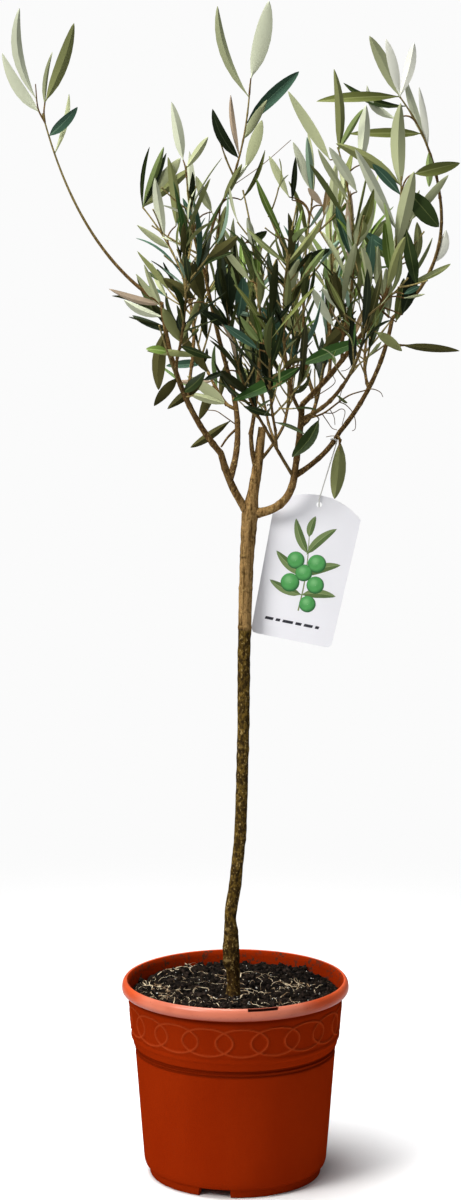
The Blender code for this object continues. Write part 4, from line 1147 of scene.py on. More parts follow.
SHOOT_RINGS, TWIG_RINGS = 36, 9
SHOOT_SIDES = 7
SHOOT_TIP, TWIG_ROOT, TWIG_END_RADIUS, FINE_ROOT = 0.0007, 0.0010, 0.0006, 0.0008
NODE_SWELL, NODE_LENGTH = 0.28, 0.0016
JOINT_OVERLAP = 0.0012  # a shoot starts this far inside what carries it
STEM_YOUTH, TWIG_YOUTH, SPUR_YOUTH = (0.35, 1.0), (0.7, 1.0), 0.30  # how green, root to tip
STANDING_SEED = 11
# The gloss of a leaf's upper side, midrib and underside: (part, roughness, specular level).
LEAF_GLOSS = (("top", 0.42, 0.08), ("rib", 0.55, 0.05), ("under", 0.70, 0.02))


def shoot_tube(line, rings, root, tip, nodes):
    """A shoot's tube: it tapers evenly and swells at each of its nodes, spaced evenly."""
    shares = np.linspace(0.0, 1.0, rings)
    path = on_curve(line.three, shares)
    path[0] -= unit(path[1] - path[0]) * JOINT_OVERLAP
    radii = root + (tip - root) * shares
    place = (shares * nodes + 0.5) % 1 - 0.5
    radii = radii * (1 + NODE_SWELL * np.exp(-((place * line.length / nodes / NODE_LENGTH) ** 2)))
    return tubes(path[None], radii[None], SHOOT_SIDES)


def grow_standing(lines, sorted_leaves, rng):
    """Adds the standing leaves to their tints' own, and gives the tubes of their small twigs."""
    radii = np.linspace(TWIG_ROOT, TWIG_END_RADIUS, TWIG_RINGS)[None]
    twigs = []
    for carrier, rows in STANDING.items():
        for row in rows:
            row = Standing(*row)
            root, twig = standing_root(lines[carrier], row.column, row.row)
            sorted_leaves[row.tint].append(standing_leaf(root, row, rng))
            if twig is not None:
                twigs.append(tubes(twig[None], radii, SHOOT_SIDES))
    return twigs


def make_foliage(limbs, thread):
    """Shoots and leaves of every mass, and those that stand alone, joined by kind and by tint."""
    stems = grow_stems(limbs)
    tubes_made, young = [], []
    sorted_leaves = {tint: [] for tint in TINTS}
    for name, row in FOLIAGE.items():
        stem = stems[name]
        around = [limb for other, limb in limbs.items() if other != row.bough] + [thread]
        space = Space(name, stems, around)
        twigs, leaves = grow_mass(row, stem, space)
        twigs, leaves = thinned(twigs, name, stem), thinned(leaves, name, stem)
        shoots, more = grow_finer(row, stem, twigs, Reach(name, space))
        shoots, more = thinned(shoots, name, stem), thinned(more, name, stem)
        rng = np.random.default_rng(row.seed)
        leaves = [leaf for leaf in leaves + more if not left_out(leaf)]
        leaves = vary_sizes(leaves, [line.points[-1] for line in [stem] + twigs], rng)
        for leaf, tint in zip(leaves, deal_tints(name, leaves, rng)):
            sorted_leaves[tint].append(leaf)
        nodes = max(1, round(stem.length * (1 - row.bare) / NODE_SPACING))
        made = [shoot_tube(stem, SHOOT_RINGS, BOUGHS[row.bough].tip, SHOOT_TIP, nodes)]
        made += [shoot_tube(t, TWIG_RINGS, TWIG_ROOT, TWIG_END_RADIUS, 2) for t in twigs]
        made += [shoot_tube(t, TWIG_RINGS, FINE_ROOT, TWIG_END_RADIUS, 1) for t in shoots]
        young += [np.linspace(*STEM_YOUTH, len(made[0][0]))]
        young += [np.linspace(*TWIG_YOUTH, len(points)) for points, _ in made[1:]]
        tubes_made += made
    carriers = {**stems, **{name: limbs[name] for name in BOUGHS}}
    lines = {name: on_curve(carrier.three, LINE_SHARES) for name, carrier in carriers.items()}
    rng = np.random.default_rng(STANDING_SEED)
    spurs = grow_spurs(lines) + grow_standing(lines, sorted_leaves, rng)
    young += [np.full(len(points), SPUR_YOUTH) for points, _ in spurs]
    points, faces = joined(tubes_made + spurs)
    piece("shoots", points, faces, [bark_finish()], marks={"young": np.concatenate(young)})
    stood_for = tuple(FOLIAGE)
    for tint, leaves in sorted_leaves.items():
        points, faces, kinds = leaf_shells(leaves, rng)
        finishes = leaf_finishes(tint)
        piece(f"leaves_{tint}", points, faces, finishes, stood_for, kinds=kinds)
        stood_for = ()


def leaf_finishes(tint):
    """Plain colours for a leaf's upper side, midrib and underside."""
    return [
        Finish(f"leaf_{tint}_{part}", colour, roughness, {"Specular IOR Level": level})
        for colour, (part, roughness, level) in zip(TINTS[tint], LEAF_GLOSS)
    ]


# Trunk and boughs with their bark


RING_GAP = 0.0013  # between rings of the bark's mesh
TRUNK_MESH_SIDES, BOUGH_MESH_SIDES = 32, 16
BARK_LUMP, BARK_GRAIN = 0.006, 0.0016  # sizes of the relief's lumps and grain
LUMP_DEPTH, GRAIN_DEPTH = 0.045, 0.035  # over the radius
# Old leaf nodes on a bough: how far apart, the first one's place and how far that moves on.
LEAF_SCARS, FIRST_SCAR, FIRST_STEP = 0.021, 0.008, 0.004
SCAR_SWELL, SCAR_LENGTH = 0.13, 0.0016
SCAR_ROUND = 0.35  # of a scar's swelling goes all the way round
SCAR_MARK = 2.3  # brings the dark and pale sides of a scar to about -1 and 1
BOUGH_RINGS = 8  # at least
BOUGH_YOUTH = 0.55  # how green the thinnest bough is
# Scars round the trunk: (height, swelling over the radius, half length).
TRUNK_SCARS = (
    (0.203, 0.07, 0.0030), (0.217, 0.05, 0.0030), (0.232, 0.04, 0.0030), (0.318, 0.04, 0.0020),
    (0.402, 0.04, 0.0020), (0.449, 0.05, 0.0018), (0.5135, 0.12, 0.0017), (0.5495, 0.09, 0.0015),
    (0.579, 0.10, 0.0015), (0.604, 0.05, 0.0020), (0.650, 0.10, 0.0015), (0.672, 0.10, 0.0015),
)
BARK_OLD, BARK_YOUNG = 0.0044, 0.0016  # radii at which bark is old and still green
# How the trunk's bark departs from its solid: (height, shift along X, share of the radius).
BARK_SHIFTS = (
    (TRUNK_FOOT, 0.0014, 0.78), (0.172, 0.0019, 0.75), (0.180, 0.0021, 0.74), (0.192, 0.0020, 0.78),
    (0.203, 0.0004, 0.98), (0.213, 0.0, 1.03), (0.228, 0.0, 1.06), (0.241, -0.0009, 0.94),
    (0.255, -0.0004, 1.0), (0.270, 0.0012, 1.0), (0.298, 0.0024, 1.0), (0.326, 0.0026, 1.0),
    (0.342, 0.0017, 1.0), (0.358, 0.0009, 1.0), (0.450, 0.0008, 1.0), (0.580, 0.0007, 1.0),
    (0.620, 0.0, 1.0), (TRUNK_LINE[-1][0], 0.0, 1.0),
)


def bark_relief(path, radii, sides, seed):
    """Factors for the rings' radii: soft lumps, and a grain drawn out along the limb."""
    along = distances(path)
    round_x = radii[:, None] * np.cos(circle(sides))
    round_y = radii[:, None] * np.sin(circle(sides))
    s = np.broadcast_to(along[:, None], round_x.shape)
    soft = lumps(np.stack([round_x, round_y, s], -1), BARK_LUMP, seed)
    grain = lumps(np.stack([round_x, round_y, s / 4], -1), BARK_GRAIN, seed + 1)
    return 1 + LUMP_DEPTH * soft + GRAIN_DEPTH * grain, along


def limb_mesh(path, radii, sides, scars, seed):
    """A limb's tube with its relief, and its points' scar marks: -1 below a scar and 1 above it.

    scars are (place along it, swelling, half length). Each is a pair on opposite sides, a quarter
    turn on from the last.
    """
    shape, along = bark_relief(path, radii, sides, seed)
    marks = np.zeros((len(along), sides))
    turn = circle(sides)[None]
    for number, (place, swelling, half) in enumerate(scars):
        off = (along[:, None] - place) / half
        near = np.exp(-(off**2))
        paired = np.cos(turn - number * pi / 2 - seed) ** 2
        shape = shape * (1 + swelling * near * (SCAR_ROUND + (1 - SCAR_ROUND) * paired))
        marks += SCAR_MARK * off * near * paired**2
    return tubes(path[None], radii[None], sides, shape[None]), marks.ravel()


def make_bark(limbs):
    """Tubes with relief for the trunk and the boughs, in one piece."""
    rings = int((TRUNK_LINE[-1][0] - TRUNK_FOOT) / RING_GAP)
    path, radii = trunk_path(rings)
    scars = [(z - TRUNK_FOOT, swell, half) for z, swell, half in TRUNK_SCARS]
    shifts = smooth_between(BARK_SHIFTS, path[:, 2])
    path[:, 0] += shifts[:, 0]
    shape, marks = limb_mesh(path, radii * shifts[:, 1], TRUNK_MESH_SIDES, scars, 1)
    shapes, scarred, young = [shape], [marks], [np.zeros(len(marks))]
    for number, (name, row) in enumerate(BOUGHS.items()):
        length = row.growth.length
        shares = np.linspace(0.0, 1.0, max(BOUGH_RINGS, int(length / RING_GAP)))
        radii = bough_radii(row, shares, 0.0 if row.share == 1 else COLLAR)
        path = on_curve(limbs[name].three, shares)
        first = FIRST_SCAR + FIRST_STEP * (number % 3)
        scars = [(at, SCAR_SWELL, SCAR_LENGTH) for at in np.arange(first, length, LEAF_SCARS)]
        shape, marks = limb_mesh(path, radii, BOUGH_MESH_SIDES, scars, 10 * number)
        shapes.append(shape)
        scarred.append(marks)
        youth = np.clip((BARK_OLD - radii) / (BARK_OLD - BARK_YOUNG), 0, 1)
        young.append(np.repeat(BOUGH_YOUTH * youth, BOUGH_MESH_SIDES))
    points, faces = joined(shapes)
    stood_for = ("trunk", *BOUGHS)
    marks = {"young": np.concatenate(young), "scar": np.concatenate(scarred)}
    piece("trunk_and_boughs", points, faces, [bark_finish()], stood_for, marks)


STREAK, MOTTLE, DOT, BARK_RELIEF = 0.0026, 0.0032, 0.0022, 0.0009  # sizes, and the bump's depth
TRUNK_DARK, TRUNK_OCHRE = (0.030, 0.017, 0.004), (0.110, 0.067, 0.013)
TAN_SHADE, TRUNK_TAN = (0.090, 0.050, 0.015), (0.265, 0.160, 0.060)
BOUGH_BROWN, SHOOT_GREEN = (0.078, 0.043, 0.015), (0.20, 0.165, 0.065)
FOOT_BROWN, FOOT_LOW, FOOT_HIGH = (0.030, 0.013, 0.005), 0.200, 0.240
BARK_PALE, BARK_BLACK = (0.36, 0.255, 0.095), (0.016, 0.010, 0.004)
TAN_FROM, TAN_TO = 0.5095, 0.5125  # heights between which the trunk turns from dark to tan


@cache
def bark_finish():
    """Bark, from dark and mottled low on the trunk to tan, and grey-green on the young shoots."""
    bark = Finish("bark", TRUNK_TAN, 0.85, {"Specular IOR Level": 0.03})
    tan = bark.along().step(TAN_FROM, TAN_TO)
    streaks = bark.noise(STREAK, 2, (1, 1, 0.10))
    mottle = bark.noise(MOTTLE, 2, (1, 1, 0.6))
    dots = bark.noise(DOT, 1, (1, 1, 0.8))
    low = bark.mix(mottle.step(0.38, 0.64), TRUNK_DARK, TRUNK_OCHRE)
    high = bark.mix(streaks.step(0.34, 0.56), TAN_SHADE, TRUNK_TAN)
    young, scar = bark.mark("young"), bark.mark("scar")
    colour = bark.layers(
        bark.mix(tan, low, high),
        (bark.along().step(FOOT_HIGH, FOOT_LOW) * 0.5, FOOT_BROWN),
        (young.step(0.0, 0.35) * 0.85, BOUGH_BROWN),
        (young.step(0.40, 1.0), SHOOT_GREEN),
        (dots.step(0.44, 0.34) * (0.75 - tan * 0.35), BARK_BLACK),
        (dots.step(0.60, 0.70) * 0.55, BARK_PALE),
        ((0 - scar).step(0.3, 0.9) * 0.70, BARK_BLACK),
        (scar.step(0.3, 1.0) * 0.35, BARK_PALE),
    )
    bark.set({"Base Color": colour, "Roughness": 0.72 + mottle * 0.2})
    bark.bump(streaks + dots, BARK_RELIEF)
    return bark


# Pot


POT_COLUMNS = 600
POT_ROUNDING = 0.0012
POT_POLE = 0.0005  # radius of the flat face that closes its bottom, inside and out
BAND_ROWS = 40  # of the mesh, over the ovals' band
OVALS = 19
OVAL_PHASE = radians(-96.0)  # the bearing of an overlap of two ovals
OVAL_HALF_LENGTH, OVAL_HALF_HEIGHT, OVAL_MIDDLE = 0.0238, 0.0130, 0.1505
OVAL_LINE, OVAL_RELIEF = 0.0012, 0.0012
FOOT_HEIGHT, FOOT_OUTER, FOOT_INNER = 0.008, 0.0796, 0.0735
FOOT_TOP, NOTCH_TOP = FOOT_HEIGHT - 0.0006, FOOT_HEIGHT - 0.0005
POT_OUTER = (
    (0.0810, 0.0080), (0.0836, 0.0098), (0.0848, 0.0140), (0.0872, 0.0435), (0.0921, 0.1090),
    (0.0927, 0.1158), (0.0911, 0.1166), (0.0911, 0.1182), (0.0928, 0.1188), (0.0928, 0.1200),
    (0.0911, 0.1207), (0.0911, 0.1225), (0.0944, 0.1240), (0.0951, 0.1300), (0.0966, 0.1309),
    (0.0967, 0.1335), (0.0957, 0.1349),
)
POT_BAND_TOP = (0.0984, 0.1700)
POT_LIP = (
    (0.0986, 0.1716), (0.1026, 0.1719), (0.1046, 0.1738), (0.1050, 0.1770), (0.1042, 0.1815),
    (0.1024, 0.1838), (0.1012, 0.1840), (0.0995, 0.1832), (0.0980, 0.1800),
)
POT_INNER = (
    (0.0966, 0.1715), (0.0961, 0.1520), (0.0936, 0.1290), (0.0902, 0.1220), (0.0896, 0.1165),
    (0.0850, 0.0435), (0.0824, 0.0135), (0.0815, 0.0110),
)
NOTCH_BEARINGS, NOTCH_HALF = (-104, 16, 136), 0.015
SLOT_BEARING, SLOT_HALF = -75.7, 0.014
SLOT_RADIUS, SLOT_HEIGHTS, SLOT_DEPTH = 0.1035, (0.1820, 0.18375), 0.0035
SLOT_OUTSIDE = 0.1015  # the slot is in the part of the lip outside this radius
INSIDE_ROWS = 3 * len(POT_INNER) + 8  # the last rows of the profile, below the lip's inner edge


def rounded(profile, size):
    """A profile with each corner replaced by three points of a small curve."""
    profile = np.asarray(profile, float)
    before, corner, after = profile[:-2], profile[1:-1], profile[2:]
    back, ahead = before - corner, after - corner
    runs = [norm(part, axis=1, keepdims=True) for part in (back, ahead)]
    start = corner + back / runs[0] * np.minimum(size, 0.45 * runs[0])
    end = corner + ahead / runs[1] * np.minimum(size, 0.45 * runs[1])
    middle = (start + 2 * corner + end) / 4
    curve = np.stack([start, middle, end], 1).reshape(-1, 2)
    return np.concatenate([profile[:1], curve, profile[-1:]])


def oval_relief(bearing, height, radius):
    """1 on the line of an oval and 0 away from it: the ovals overlap their neighbours."""
    gap = 2 * pi / OVALS
    along = (bearing - OVAL_PHASE) % gap
    relief = 0.0
    for middle in (-0.5, 0.5, 1.5):
        x = (along - middle * gap) * radius / OVAL_HALF_LENGTH
        z = (height - OVAL_MIDDLE) / OVAL_HALF_HEIGHT
        reach = np.hypot(x, z)
        slope = np.hypot(x / OVAL_HALF_LENGTH, z / OVAL_HALF_HEIGHT) / np.maximum(reach, 1e-6)
        off = np.abs(reach - 1) / slope
        relief = np.maximum(relief, np.clip(1 - (off / OVAL_LINE) ** 2, 0, 1))
    return relief


def within(bearings, middle, half_angle):
    """Which bearings lie within half_angle of the middle, in radians."""
    return np.abs((bearings - middle + pi) % (2 * pi) - pi) < half_angle


def make_pot():
    """The pot's profile turned about Z, with ovals raised on its band, and its notches and slot.

    A column of the mesh that lies in a notch or in the slot has its points there moved up or
    down, so that the steep sides take one narrow column each.
    """
    bearings = circle(POT_COLUMNS)[None]
    sole = ((POT_POLE, FOOT_HEIGHT), (FOOT_INNER, FOOT_HEIGHT), (FOOT_INNER, 0.0))
    low = rounded((*sole, (FOOT_OUTER, 0.0), (FOOT_OUTER, FOOT_TOP), *POT_OUTER), POT_ROUNDING)
    share = np.linspace(0, 1, BAND_ROWS)[1:, None]
    band = np.array(POT_OUTER[-1]) * (1 - share) + np.array(POT_BAND_TOP) * share
    high = rounded((POT_BAND_TOP, *POT_LIP, *POT_INNER, (POT_POLE, POT_INNER[-1][1])), POT_ROUNDING)
    profile = np.concatenate([low, band, high])
    radii, heights = profile[:, :1], profile[:, 1:]
    row = np.arange(len(profile))[:, None]
    in_band = (row >= len(low)) & (row < len(low) + len(band)) & (heights < POT_BAND_TOP[1])
    relief = oval_relief(bearings, heights, radii) * in_band
    raised = radii + OVAL_RELIEF * relief
    lifted = np.broadcast_to(heights, relief.shape).copy()
    for bearing in NOTCH_BEARINGS:
        here = within(bearings, radians(bearing), NOTCH_HALF / FOOT_OUTER)
        lifted = np.where(here & (lifted < NOTCH_TOP), NOTCH_TOP, lifted)
    here = within(bearings, radians(SLOT_BEARING), SLOT_HALF / SLOT_RADIUS)
    in_slot = here & (heights > SLOT_HEIGHTS[0]) & (heights < SLOT_HEIGHTS[1])
    in_slot = in_slot & (radii > SLOT_OUTSIDE)
    raised = np.where(in_slot, raised - SLOT_DEPTH, raised)
    lifted = np.where(in_slot, lifted - SLOT_DEPTH / 2, lifted)
    points = turned(raised, lifted, bearings)
    inside = np.broadcast_to(row > len(profile) - INSIDE_ROWS, relief.shape)
    marks = {"inside": inside, "slot": in_slot, "relief": relief}
    faces = capped(len(profile), POT_COLUMNS)
    piece("pot_body", points, faces, [pot_finish()], ("pot",), marks)


POT_RED, POT_DEEP, POT_WARM = (0.19, 0.014, 0.0012), (0.165, 0.0105, 0.0007), (0.215, 0.0175, 0.0016)
# The paler red on the ovals' raised lines is painted highlight.
CREST_HIGHLIGHT_RED, GROOVE_SHADE_RED = (0.36, 0.060, 0.016), (0.070, 0.006, 0.0010)
SHADE_RED = (0.045, 0.0025, 0.0003)
# The lip's paler red, partly its own colour and partly painted highlight, and the pink of the painted
# highlight at its front.
LIP_PALE_SHEEN_RED, FRONT_SHEEN_PINK = (0.60, 0.085, 0.018), (0.56, 0.170, 0.100)
# The slot's near-black red is painted shade in its recess.
SPLASH_BROWN, SPECK_RED, SLOT_SHADE_RED = (0.030, 0.020, 0.013), (0.15, 0.020, 0.007), (0.030, 0.006, 0.003)
# Heights over which the groove, the lip, the painted highlight on its top and the painted shade below
# it come and go.
GROOVE_FROM, GROOVE_TO = (0.1160, 0.1166), (0.1225, 0.1231)
LIP_FROM, LIP_SHEEN_FROM = (0.1712, 0.1740), (0.1725, 0.1785)
SHADE_FROM, SHADE_TO = (0.1655, 0.1705), (0.1722, 0.1712)
# A painted highlight makes the lip pinkest at the front, between these distances along the direction
# that it faces.
SHEEN_X, SHEEN_Y, SHEEN_FROM = 0.15, 0.99, (0.055, 0.082)
CLOUD, FINE, LIP_PATCH, SPECK, DIRT, SPLASH = 0.05, 0.0016, 0.045, 0.0024, 0.012, 0.0032  # sizes
POT_RELIEF = 0.0002


def pot_finish():
    """Terracotta-coloured plastic: faint flow marks, a paler lip, and soil inside, with painted
    highlight on the lip's top and front and on the ovals, and painted shade in the groove, the slot
    and under the lip.
    """
    pot = Finish("pot_plastic", POT_RED, 0.42, {"Specular IOR Level": 0.0, "Coat Roughness": 0.28})
    cloud, fine = pot.noise(CLOUD, 3, (1, 1, 0.35)), pot.noise(FINE, 2)
    outside = 1 - pot.mark("inside")
    # The groove is darkened: painted shade.
    groove = pot.along().step(*GROOVE_FROM) * (1 - pot.along().step(*GROOVE_TO))
    lip = pot.along().step(*LIP_FROM) * outside
    # The lip is paler towards its top and pinker at the front: painted highlight.
    lip_sheen = pot.along().step(*LIP_SHEEN_FROM) * 0.54 + 0.20
    patches = pot.noise(LIP_PATCH, 2).step(0.35, 0.60) * 0.35 + 0.72
    front = (0 - pot.along("Y") * SHEEN_Y - pot.along("X") * SHEEN_X).step(*SHEEN_FROM)
    shade = pot.along().step(*SHADE_FROM) * pot.along().step(*SHADE_TO)
    dirt = pot.noise(DIRT, 3).step(0.40, 0.62) * pot.mark("inside")
    colour = pot.layers(
        pot.mix(cloud, POT_DEEP, POT_WARM),
        (pot.mark("relief") * 0.40, CREST_HIGHLIGHT_RED),
        (groove * outside * 0.45, GROOVE_SHADE_RED),
        (lip * (lip_sheen * patches), pot.mix(front, LIP_PALE_SHEEN_RED, FRONT_SHEEN_PINK)),
        (shade * outside * 0.6, SHADE_RED),
        (pot.noise(SPLASH, 2).step(0.50, 0.56) * dirt * 0.85, SPLASH_BROWN),
        (pot.noise(SPECK, 2).step(0.66, 0.72) * 0.25, SPECK_RED),
        (pot.mark("slot"), SLOT_SHADE_RED),
    )
    pot.set({"Base Color": colour, "Roughness": 0.36 + cloud * 0.10 + fine * 0.06})
    pot.set({"Coat Weight": lip * 0.60})
    pot.bump(fine + cloud * 2, POT_RELIEF)
    return pot


# Soil, with its crumbs, root fibres and white grit


SOIL_RINGS, SOIL_COLUMNS = 70, 240
SOIL_EDGE, SOIL_LEVEL, SOIL_DEPTH = 0.0958, 0.1698, 0.021
SOIL_POLE, SOIL_CROWDING = 0.004, 0.9  # its middle face's share of the radius, and the rings'
WALL_IN = 0.985  # how much narrower its wall is at the bottom
SOIL_LUMPS = ((0.0022, 0.024, 3), (0.0020, 0.009, 4), (0.0011, 0.004, 6))  # rise, size, seed
EDGE_DROP, BACK_RISE = 0.0012, 0.0034
SOIL_SEED = 21
CLEAR_MIDDLE = 0.02  # of the area, where nothing is strewn
# What is strewn on it: how many, their sizes, how deep they sink and how many are small.
CRUMBS, CRUMB_SIZES, CRUMB_SUNK = 2600, (0.0008, 0.0038), 0.45
GRITS, GRIT_SIZES, GRIT_SUNK = 320, (0.0005, 0.0011), 0.7
MANY_SMALL = 2.5
CRUMB_CORNERS, CRUMB_SIDES = (0.65, 1.35), (0.6, 1.2)  # how far each is pulled out of shape
EDGE_SPARED = 0.002


def soil_height(places):
    """The soil's surface: it rises towards the back and has lumps of three sizes."""
    flat = np.concatenate([places[..., :2], np.zeros((*places.shape[:-1], 1))], -1)
    height = SOIL_LEVEL
    for rise, size, seed in SOIL_LUMPS:
        height = height + rise * lumps(flat, size, seed)
    out = norm(flat, axis=-1) / SOIL_EDGE
    return height - EDGE_DROP * out**8 + BACK_RISE * np.clip(places[..., 1] / SOIL_EDGE, 0, 1)


def strewn(rng, count, reach):
    """Places spread evenly over a disc, off its middle."""
    bearing = rng.uniform(0, 2 * pi, count)
    radius = reach * np.sqrt(rng.uniform(CLEAR_MIDDLE, 1, count))
    return np.stack([radius * np.cos(bearing), radius * np.sin(bearing)], -1)


def make_soil():
    """The soil's lumpy surface and its wall, as rings round Z, and what lies on it."""
    shares = np.linspace(SOIL_POLE, 1.0, SOIL_RINGS)[::-1] ** SOIL_CROWDING
    top = turned((SOIL_EDGE * shares)[:, None], 0.0, circle(SOIL_COLUMNS)[None])
    top[..., 2] = soil_height(top)
    wall = top[:1] * (WALL_IN, WALL_IN, 0.0) + (0.0, 0.0, SOIL_LEVEL - SOIL_DEPTH)
    points = np.concatenate([wall, top])
    faces = capped(len(points), SOIL_COLUMNS)
    piece("soil_bed", points, faces, [soil_finish()], ("soil",))
    rng = np.random.default_rng(SOIL_SEED)
    scatter_crumbs("soil_crumbs", rng, CRUMBS, CRUMB_SIZES, soil_finish(), CRUMB_SUNK)
    grit = Finish("white_grit", (0.62, 0.60, 0.54), 0.8)
    scatter_crumbs("soil_grit", rng, GRITS, GRIT_SIZES, grit, GRIT_SUNK)
    make_fibres(rng)


NEIGHBOURS = 1.2  # corners of the icosahedron that are nearer than this share an edge


def lattice_ball():
    """The twelve corners and twenty faces of an icosahedron of radius 1."""
    golden = (1 + 5**0.5) / 2
    corners = []
    for a in (-1, 1):
        for b in (-golden, golden):
            corners += [(0, a, b), (a, b, 0), (b, 0, a)]
    corners = unit(np.array(corners))
    gaps = norm(corners[:, None] - corners, axis=2)
    near = (gaps > 0) & (gaps < NEIGHBOURS)
    faces = []
    for a, b, c in combinations(range(len(corners)), 3):
        if near[a, b] and near[b, c] and near[a, c]:
            out = np.linalg.det(corners[[a, b, c]]) > 0
            faces.append((a, b, c) if out else (a, c, b))
    return corners, np.array(faces)


def scatter_crumbs(name, rng, count, sizes, finish, sunk):
    """Crumbs on the soil: icosahedra pulled out of shape, turned and sunk by part of their size."""
    corners, faces = lattice_ball()
    flat = strewn(rng, count, SOIL_EDGE - EDGE_SPARED)
    size = sizes[0] + (sizes[1] - sizes[0]) * rng.random(count) ** MANY_SMALL
    places = np.column_stack([flat, soil_height(flat) + size * (0.5 - sunk)])
    shape = corners[None] * rng.uniform(*CRUMB_CORNERS, (count, len(corners), 1))
    shape = shape * rng.uniform(*CRUMB_SIDES, (count, 1, 3))
    turn = rng.uniform(0, 2 * pi, count)
    c, s, zero, one = np.cos(turn), np.sin(turn), np.zeros(count), np.ones(count)
    rotation = np.stack([c, -s, zero, s, c, zero, zero, zero, one], -1).reshape(-1, 3, 3)
    points = places[:, None] + size[:, None, None] * np.einsum("nij,nkj->nki", rotation, shape)
    piece(name, points, copies(faces, len(corners), count), [finish], crease=180)


FIBRES, TUFTS, TUFT_REACH, TUFT_SPREAD = 170, 60, 0.084, 0.0075
FIBRE_RINGS, FIBRE_SIDES, FIBRE_REACH = 14, 5, 0.092
FIBRE_SHORT, FIBRE_LONGER, FEW_LONG = 0.006, 0.042, 1.5
FIBRE_CURL = 0.34  # radians either way, from ring to ring
FIBRE_THIN, FIBRE_THICKER, FIBRE_TAPER = 0.00010, 0.00032, (1.4, 0.5)
FIBRE_HUMPS = (0.0004, 0.0035)  # how high its middle stands off the soil


def make_fibres(rng):
    """Root fibres that curl over the soil in tufts: each turns at random as it goes along."""
    tufts = strewn(rng, TUFTS, TUFT_REACH)
    starts = tufts[rng.integers(0, TUFTS, FIBRES)] + rng.normal(0, TUFT_SPREAD, (FIBRES, 2))
    heading = rng.uniform(0, 2 * pi, FIBRES)
    length = FIBRE_SHORT + FIBRE_LONGER * rng.random(FIBRES) ** FEW_LONG
    turns = np.cumsum(rng.normal(0, FIBRE_CURL, (FIBRES, FIBRE_RINGS)), axis=1) + heading[:, None]
    steps = np.stack([np.cos(turns), np.sin(turns)], -1) * (length / FIBRE_RINGS)[:, None, None]
    flat = np.cumsum(steps, axis=1) + starts[:, None]
    flat = flat * np.minimum(1.0, FIBRE_REACH / norm(flat, axis=2, keepdims=True))
    hump = np.sin(np.linspace(0, pi, FIBRE_RINGS)) ** 0.7 * rng.uniform(*FIBRE_HUMPS, (FIBRES, 1))
    path = np.concatenate([flat, (soil_height(flat) + hump)[..., None]], -1)
    thick = FIBRE_THIN + FIBRE_THICKER * rng.random((FIBRES, 1)) ** MANY_SMALL
    fibre = Finish("root_fibre", (0.50, 0.38, 0.22), 0.8)
    shade = fibre.noise(0.006, 2).step(0.40, 0.60)
    fibre.set({"Base Color": fibre.mix(shade, (0.22, 0.13, 0.06), (0.72, 0.60, 0.40))})
    points, faces = tubes(path, thick * np.linspace(*FIBRE_TAPER, FIBRE_RINGS), FIBRE_SIDES)
    piece("root_fibres", points, faces, [fibre])


SOIL_BLACK, SOIL_DARK = (0.0020, 0.0017, 0.0015), (0.012, 0.008, 0.005)
SOIL_PALE, SOIL_BROWN = (0.11, 0.075, 0.045), (0.036, 0.024, 0.020)


@cache
def soil_finish():
    """Damp soil, nearly black, with brown patches and pale grains."""
    soil = Finish("potting_soil", (0.006, 0.005, 0.004), 0.7, {"Specular IOR Level": 0.05})
    patch, grain = soil.noise(0.007, 4), soil.noise(0.0012, 3)
    colour = soil.layers(
        soil.mix(patch.step(0.35, 0.70), SOIL_BLACK, SOIL_DARK),
        (grain.step(0.62, 0.74) * 0.5, SOIL_PALE),
        (soil.noise(0.0035, 2).step(0.55, 0.66) * 0.6, SOIL_BROWN),
    )
    soil.set({"Base Color": colour, "Roughness": 0.75 + grain * 0.2})
    soil.bump(grain + patch, 0.0012)
    return soil


# Label card, its print and its thread


CARD_TOP, CARD_BOTTOM = 0.080, 0.075  # widths at its top and at its bottom
CARD_SIDE, CARD_ARCH = 0.1205, 0.015
CARD_THICK, CARD_EDGE = 0.0008, 0.0002  # the edge's rounding
CARD_ROWS = (0, 0.02, 0.1, 0.25, 0.45, 0.7, 0.9, 1.0)  # from the hole to the rim
CARD_TILT = radians(11.5)
CARD_HOLE = (0.0759, 0.0075, 0.6241)
HOLE_RADIUS, HOLE_DROP = 0.0025, 0.0085
CARD_CORNER = 0.004
THREAD_RADIUS = 0.0006
TIE_SHARE, TIE_RADIUS = 0.84, 0.0025  # where the thread goes round the bough
TIE_TURN, TIE_STEPS, TIE_DRIFT = 300, 12, -0.0018
TIE_REACH = 0.03  # the bough's direction there is taken this share of it either side
THREAD_BACK, THREAD_RISE = -0.003, 0.004  # where it starts below the hole, and leaves it
CARD_COLUMNS = 96
CARD_BOW = 0.0010  # how far the card's middle stands forward of its sides
PRINT_PROUD = 0.00006  # how far the print stands off the card
PRINT_LEVEL = CARD_THICK / 2 + PRINT_PROUD
PRINT_ROWS = 13  # along a printed leaf
PRINT_SIDES = np.array([-1.0, -0.07, 0.07, 1.0])[None]  # its edges and its midrib's
PRINT_SHIFT, PRINT_LEAST, PRINT_BEND = 0.9, 0.03, 0.06  # its widest place, least width and bow
BERRY_RINGS, BERRY_COLUMNS, BERRY_DOME = 7, 24, 0.00035


def card_place(x, z, proud):
    """A point on the card, from x and z round its hole's centre and its height off the middle."""
    x, z, proud = np.broadcast_arrays(x, z, proud)
    bow = CARD_BOW * (np.abs(x) / (CARD_TOP / 2)) ** 2
    across, up = x * cos(CARD_TILT) + z * sin(CARD_TILT), z * cos(CARD_TILT) - x * sin(CARD_TILT)
    return np.stack([CARD_HOLE[0] + across, CARD_HOLE[1] + bow - proud, CARD_HOLE[2] + up], -1)


def arc(centre, radius, start, end, steps):
    """Points of an arc in the plane, from the bearing start to end in degrees."""
    turns = np.radians(np.linspace(start, end, steps + 1))
    return np.stack([centre[0] + radius * np.cos(turns), centre[1] + radius * np.sin(turns)], -1)


